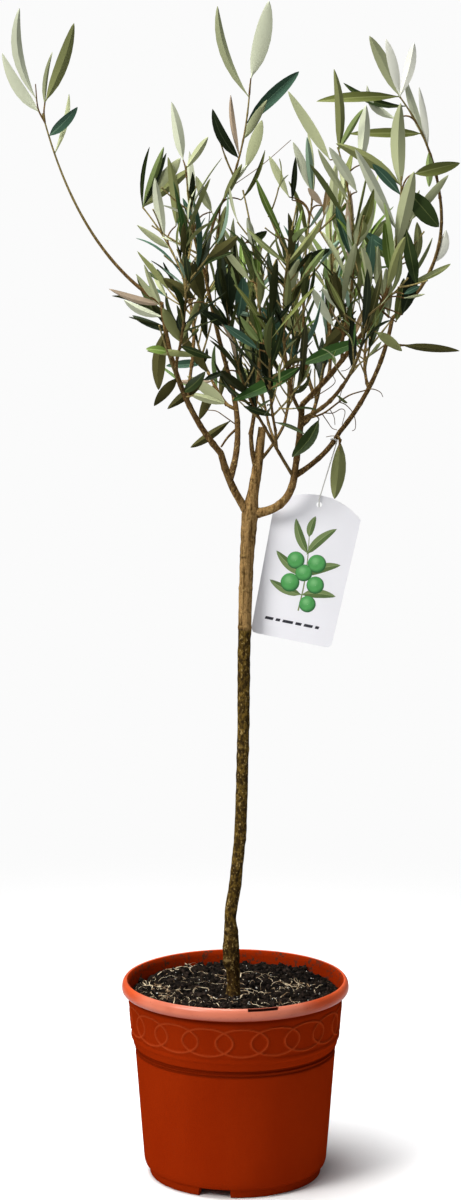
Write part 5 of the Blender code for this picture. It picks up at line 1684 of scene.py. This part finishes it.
def card_outline():
    """The card's outline round its hole's centre, from its lower left corner: an arched top."""
    half_top, half_bottom = CARD_TOP / 2, CARD_BOTTOM / 2
    shoulder = HOLE_DROP - CARD_ARCH
    bottom = shoulder - CARD_SIDE
    arch_radius = (half_top**2 + CARD_ARCH**2) / (2 * CARD_ARCH)
    centre = (0.0, HOLE_DROP - arch_radius)
    spread = degrees(asin(half_top / arch_radius))
    c = CARD_CORNER
    corners = [
        arc((-half_bottom + c, bottom + c), c, 180, 270, 6),
        arc((half_bottom - c, bottom + c), c, 270, 360, 6),
        arc(centre, arch_radius, 90 - spread, 90 + spread, 24),
    ]
    return np.concatenate(corners)


def make_card():
    """The card as rows that run out from the hole over the front, round the edge and back."""
    outline = card_outline()
    outline = np.concatenate([outline, outline[:1]])
    along = distances(outline)
    at = np.linspace(0, along[-1], CARD_COLUMNS, endpoint=False)
    rim = np.stack([np.interp(at, along, outline[:, i]) for i in (0, 1)], -1)
    hole = unit(rim) * HOLE_RADIUS
    half = CARD_THICK / 2
    front = [(share, half) for share in CARD_ROWS] + [(1.0, half - CARD_EDGE)]
    rows = front + [(share, -height) for share, height in reversed(front)]
    flat = np.stack([hole + (rim - hole) * share for share, _ in rows])
    heights = np.array([height for _, height in rows])[:, None]
    points = card_place(flat[..., 0], flat[..., 1], heights)
    faces = grid_faces(len(rows) + 1, CARD_COLUMNS, True) % (len(rows) * CARD_COLUMNS)
    card = Finish("coated_card", (0.88, 0.88, 0.93), 0.34)
    fibre, haze = card.noise(0.003, 3), card.noise(0.05, 2)
    card.set({"Base Color": card.mix(haze, (0.86, 0.86, 0.91), (0.91, 0.91, 0.95))})
    card.set({"Roughness": 0.30 + fibre * 0.12})
    card.bump(fibre, 0.00005)
    piece("label_sheet", points, faces, [card], ("label_card",))


def thread_path(carrier):
    """From behind the card, through its hole, up to the bough and most of the way round it."""
    hole = np.array(CARD_HOLE)
    lift = HOLE_RADIUS - THREAD_RADIUS - 2 * GAP
    off = CARD_THICK / 2 + THREAD_RADIUS + 2 * GAP
    middle = carrier.at(TIE_SHARE)
    ahead = unit(carrier.at(TIE_SHARE + TIE_REACH) - carrier.at(TIE_SHARE - TIE_REACH))
    rising = unit(middle - hole)
    around = unit(rising - ahead * (rising @ ahead))
    facing = np.cross(ahead, around)
    facing = facing if facing[1] < 0 else -facing
    radius = TIE_RADIUS + GAP + THREAD_RADIUS
    wrap = []
    for k in range(TIE_STEPS + 1):
        turn = radians(TIE_TURN * k / TIE_STEPS)
        out = facing * cos(turn) + around * sin(turn)
        wrap.append(middle + radius * out + ahead * TIE_DRIFT * k / TIE_STEPS)
    through = [(0.0, off, THREAD_BACK), (0.0, off, 0.3 * lift), (0.0, 0.0, 0.8 * lift)]
    through += [(0.0, -off, lift), (0.0, -off - GAP, lift + THREAD_RISE)]
    threaded = [hole + step for step in through]
    rise = [threaded[-1] + (wrap[0] - threaded[-1]) * share for share in (0.3, 0.6, 0.9)]
    return np.array(threaded + rise + wrap)


def printed_leaf(x, z, bearing, length, width):
    """A flat leaf on the card, in two halves either side of a midrib."""
    u = np.linspace(0.0, 1.0, PRINT_ROWS)[:, None]
    half = width / 2 * np.maximum(leaf_outline(u, PRINT_SHIFT), PRINT_LEAST)
    turn = radians(bearing)
    bend = PRINT_BEND * length * 4 * u * (1 - u)
    along, side = u * length, PRINT_SIDES * half + bend
    px = x + along * cos(turn) - side * sin(turn)
    pz = z + along * sin(turn) + side * cos(turn)
    faces = grid_faces(PRINT_ROWS, PRINT_SIDES.size)[:, ::-1]
    return card_place(px, pz, PRINT_LEVEL).reshape(-1, 3), [faces]


def printed_berry(x, z, radius):
    """A round berry on the card: a shallow dome, and its shading, 0 where light and 1 at the rim."""
    reach = np.linspace(0.02, 1.0, BERRY_RINGS)[:, None]
    turn = circle(BERRY_COLUMNS)[None]
    rise = PRINT_PROUD + BERRY_DOME * np.sqrt(1 - reach**2)
    px, pz = reach * np.cos(turn), reach * np.sin(turn)
    shade = np.hypot(px + 0.25, pz - 0.30) / 1.7 + 0.30 * reach**6
    points = card_place(x + radius * px, z + radius * pz, CARD_THICK / 2 + rise)
    return points.reshape(-1, 3), [grid_faces(BERRY_RINGS, BERRY_COLUMNS, True)], shade


# The print, in metres round the hole's centre: (x, z, bearing, length, width) and (x, z, radius).
SPRIG_FOOT, SPRIG_TOP = (0.001, -0.099), (-0.003, -0.030)
PRINT_LEAVES = (
    (-0.001, -0.046, 120, 0.034, 0.0080), (-0.003, -0.031, 84, 0.020, 0.0070),
    (-0.002, -0.047, 52, 0.036, 0.0080), (0.000, -0.066, 150, 0.034, 0.0085),
    (0.000, -0.066, 27, 0.034, 0.0085), (0.001, -0.084, 166, 0.032, 0.0080),
    (0.001, -0.084, 8, 0.031, 0.0080),
)
PRINT_BERRIES = (
    (-0.0105, -0.0540, 0.0080), (0.0090, -0.0535, 0.0084), (-0.0115, -0.0750, 0.0086),
    (0.0115, -0.0730, 0.0080), (-0.0010, -0.0640, 0.0078), (0.0080, -0.0915, 0.0076),
)
DASHES = (0.0075, 0.0040, 0.0095, 0.0055, 0.0080, 0.0035)
DASH_START, DASH_LEVEL = -0.0275, -0.1110
DASH_HEIGHT, DASH_GAP, DASH_SLANT = 0.0026, 0.0024, 0.0006
SPRIG_BEND, SPRIG_ROOT, SPRIG_TAPER = 0.002, 0.0007, 0.0004  # half widths of its stalk


def make_print():
    """An upright sprig with paired leaves and round berries, over a row of dashes."""
    leaf = Finish("print_leaf", (0.085, 0.15, 0.035), 0.5)
    tone = leaf.noise(0.006, 2)
    leaf.set({"Base Color": leaf.mix(tone, (0.055, 0.105, 0.028), (0.13, 0.20, 0.055))})
    rib = Finish("print_rib", (0.28, 0.36, 0.14), 0.5)
    points, faces = joined([printed_leaf(*row) for row in PRINT_LEAVES])
    lit = Finish("print_leaf_lit", (0.17, 0.24, 0.085), 0.5)
    kinds = np.tile([0, 1, 2], (PRINT_ROWS - 1) * len(PRINT_LEAVES))
    piece("print_leaves", points, faces, [leaf, rib, lit], kinds=kinds)
    berry = Finish("print_berry", (0.07, 0.34, 0.07), 0.4)
    tone, shade = berry.noise(0.004, 2), berry.mark("shade")
    berry.set({"Base Color": berry.layers(
        berry.mix(tone, (0.050, 0.27, 0.060), (0.11, 0.42, 0.12)),
        (shade.step(0.40, 0.0) * 0.70, (0.27, 0.60, 0.26)),
        (shade.step(0.50, 0.95) * 0.85, (0.010, 0.080, 0.022)),
    )})
    shapes = [printed_berry(*row) for row in PRINT_BERRIES]
    points, faces = joined([shape[:2] for shape in shapes])
    marks = {"shade": np.concatenate([shape[2].ravel() for shape in shapes])}
    piece("print_berries", points, faces, [berry], marks=marks)
    ink = Finish("print_ink", (0.020, 0.020, 0.030), 0.5)
    shapes, x = [], DASH_START
    share, rise = np.linspace(0, 1, 4)[None], np.array([[0.0], [1.0]])
    for width in DASHES:
        px, pz = x + width * share + DASH_SLANT * rise, DASH_LEVEL + DASH_HEIGHT * (rise - 0.5)
        shapes.append((card_place(px, pz, PRINT_LEVEL).reshape(-1, 3), [grid_faces(2, 4)]))
        x += width + DASH_GAP
    points, faces = joined(shapes)
    piece("print_dashes", points, faces, [ink])
    stalk = Finish("print_stalk", (0.20, 0.24, 0.09), 0.5)
    u, side = np.linspace(0, 1, 12)[:, None], np.array([[-1.0, 1.0]])
    px = SPRIG_FOOT[0] + (SPRIG_TOP[0] - SPRIG_FOOT[0]) * u + SPRIG_BEND * np.sin(pi * u)
    px = px + side * (SPRIG_ROOT - SPRIG_TAPER * u)
    pz = SPRIG_FOOT[1] + (SPRIG_TOP[1] - SPRIG_FOOT[1]) * u
    stem = card_place(px, pz, CARD_THICK / 2 + PRINT_PROUD * 0.8)
    piece("print_stalk", stem, grid_faces(12, 2)[:, ::-1], [stalk])


# Floor, lights and camera


FLOOR_RINGS, FLOOR_COLUMNS, FLOOR_LEVEL = (0.001, 0.5, 1.0, 2.0, 4.0), 64, -0.0002
FLOOR_FADE = (0.20, 1.3)  # distances from the pot over which it goes into the background
BACKGROUND, GLOW, GLOW_STRENGTH = (0.965, 0.965, 0.965), (0.96, 0.98, 1.0), 0.22


def make_floor():
    """A pale disc that fades into the background with its distance from the pot."""
    reach = np.array(FLOOR_RINGS)[:, None]
    points = turned(reach, FLOOR_LEVEL, circle(FLOOR_COLUMNS)[None])
    mesh = bpy.data.meshes.new("floor")
    faces = grid_faces(len(reach), FLOOR_COLUMNS, True)
    mesh.from_pydata(points.reshape(-1, 3).tolist(), [], faces.tolist())
    pale = Finish("floor", (0.80, 0.80, 0.80), 0.9)
    mesh.materials.append(pale.material)
    placed("floor", mesh)
    here = pale.node("ShaderNodeTexCoord", output="Object")
    far = pale.node("ShaderNodeVectorMath", {"operation": "LENGTH"}, {0: here}, output="Value")
    clear = pale.node("ShaderNodeBsdfTransparent")
    share = far.step(*FLOOR_FADE)
    body = Socket(pale, pale.shader.outputs[0])
    shown = pale.node("ShaderNodeMixShader", None, {0: share, 1: body, 2: clear})
    pale.tree.links.new(shown.link, pale.tree.nodes["Material Output"].inputs["Surface"])


def make_world():
    """Even light from all round, and a paler background behind what the camera sees."""
    world = bpy.data.worlds.new("studio")
    world.use_nodes = True
    tree = world.node_tree
    glow = tree.nodes["Background"]
    glow.inputs["Color"].default_value = (*GLOW, 1.0)
    glow.inputs["Strength"].default_value = GLOW_STRENGTH
    seen = tree.nodes.new("ShaderNodeBackground")
    seen.inputs["Color"].default_value = (*BACKGROUND, 1.0)
    seen.inputs["Strength"].default_value = 1.0
    path, mixed = tree.nodes.new("ShaderNodeLightPath"), tree.nodes.new("ShaderNodeMixShader")
    feeds = (path.outputs["Is Camera Ray"], glow.outputs[0], seen.outputs[0])
    for made, socket in zip(feeds, mixed.inputs):
        tree.links.new(made, socket)
    tree.links.new(mixed.outputs[0], tree.nodes["World Output"].inputs["Surface"])
    bpy.context.scene.world = world


def make_light(name, place, target, size, power, colour=(1.0, 1.0, 1.0)):
    """A round area light, turned towards its target."""
    data = bpy.data.lights.new(name, "AREA")
    data.shape, data.size, data.energy, data.color = "DISK", size, power, colour
    light = placed(name, data)
    light.location = place
    light.rotation_mode = "QUATERNION"
    light.rotation_quaternion = Vector(np.subtract(target, place)).to_track_quat("-Z", "Y")


def make_camera():
    """The eye in front of the plant, which looks a little down."""
    data = bpy.data.cameras.new("camera")
    data.sensor_width = SENSOR
    data.lens = FOCAL_PIXELS / FRAME_HEIGHT * SENSOR
    data.clip_start, data.clip_end = 0.05, 50.0
    camera = placed("camera", data)
    camera.location = EYE
    camera.rotation_euler = (pi / 2 - EYE_PITCH, 0.0, 0.0)
    bpy.context.scene.camera = camera


make_camera()
bpy.context.scene.view_settings.view_transform = "Standard"
make_world()
make_floor()
make_light("key", (-2.2, -1.7, 2.2), (0, 0, 0.5), 1.4, 98, (1.0, 0.98, 0.95))
make_light("fill", (2.2, -1.6, 1.2), (0, 0, 0.5), 1.8, 6)
make_light("top", (-0.5, -0.1, 3.0), (0, 0, 0.7), 2.0, 150)

limbs = grow_limbs()
make_pot()
make_soil()
make_bark(limbs)
thread = thread_path(limbs["bough_far"])
make_foliage(limbs, Limb(thread, np.full(len(thread), THREAD_RADIUS)))
make_card()
make_print()
thread_finish = Finish("thread", (0.62, 0.62, 0.58), 0.8)
frame["nodes"]["label_thread"].data.materials[0] = thread_finish.material
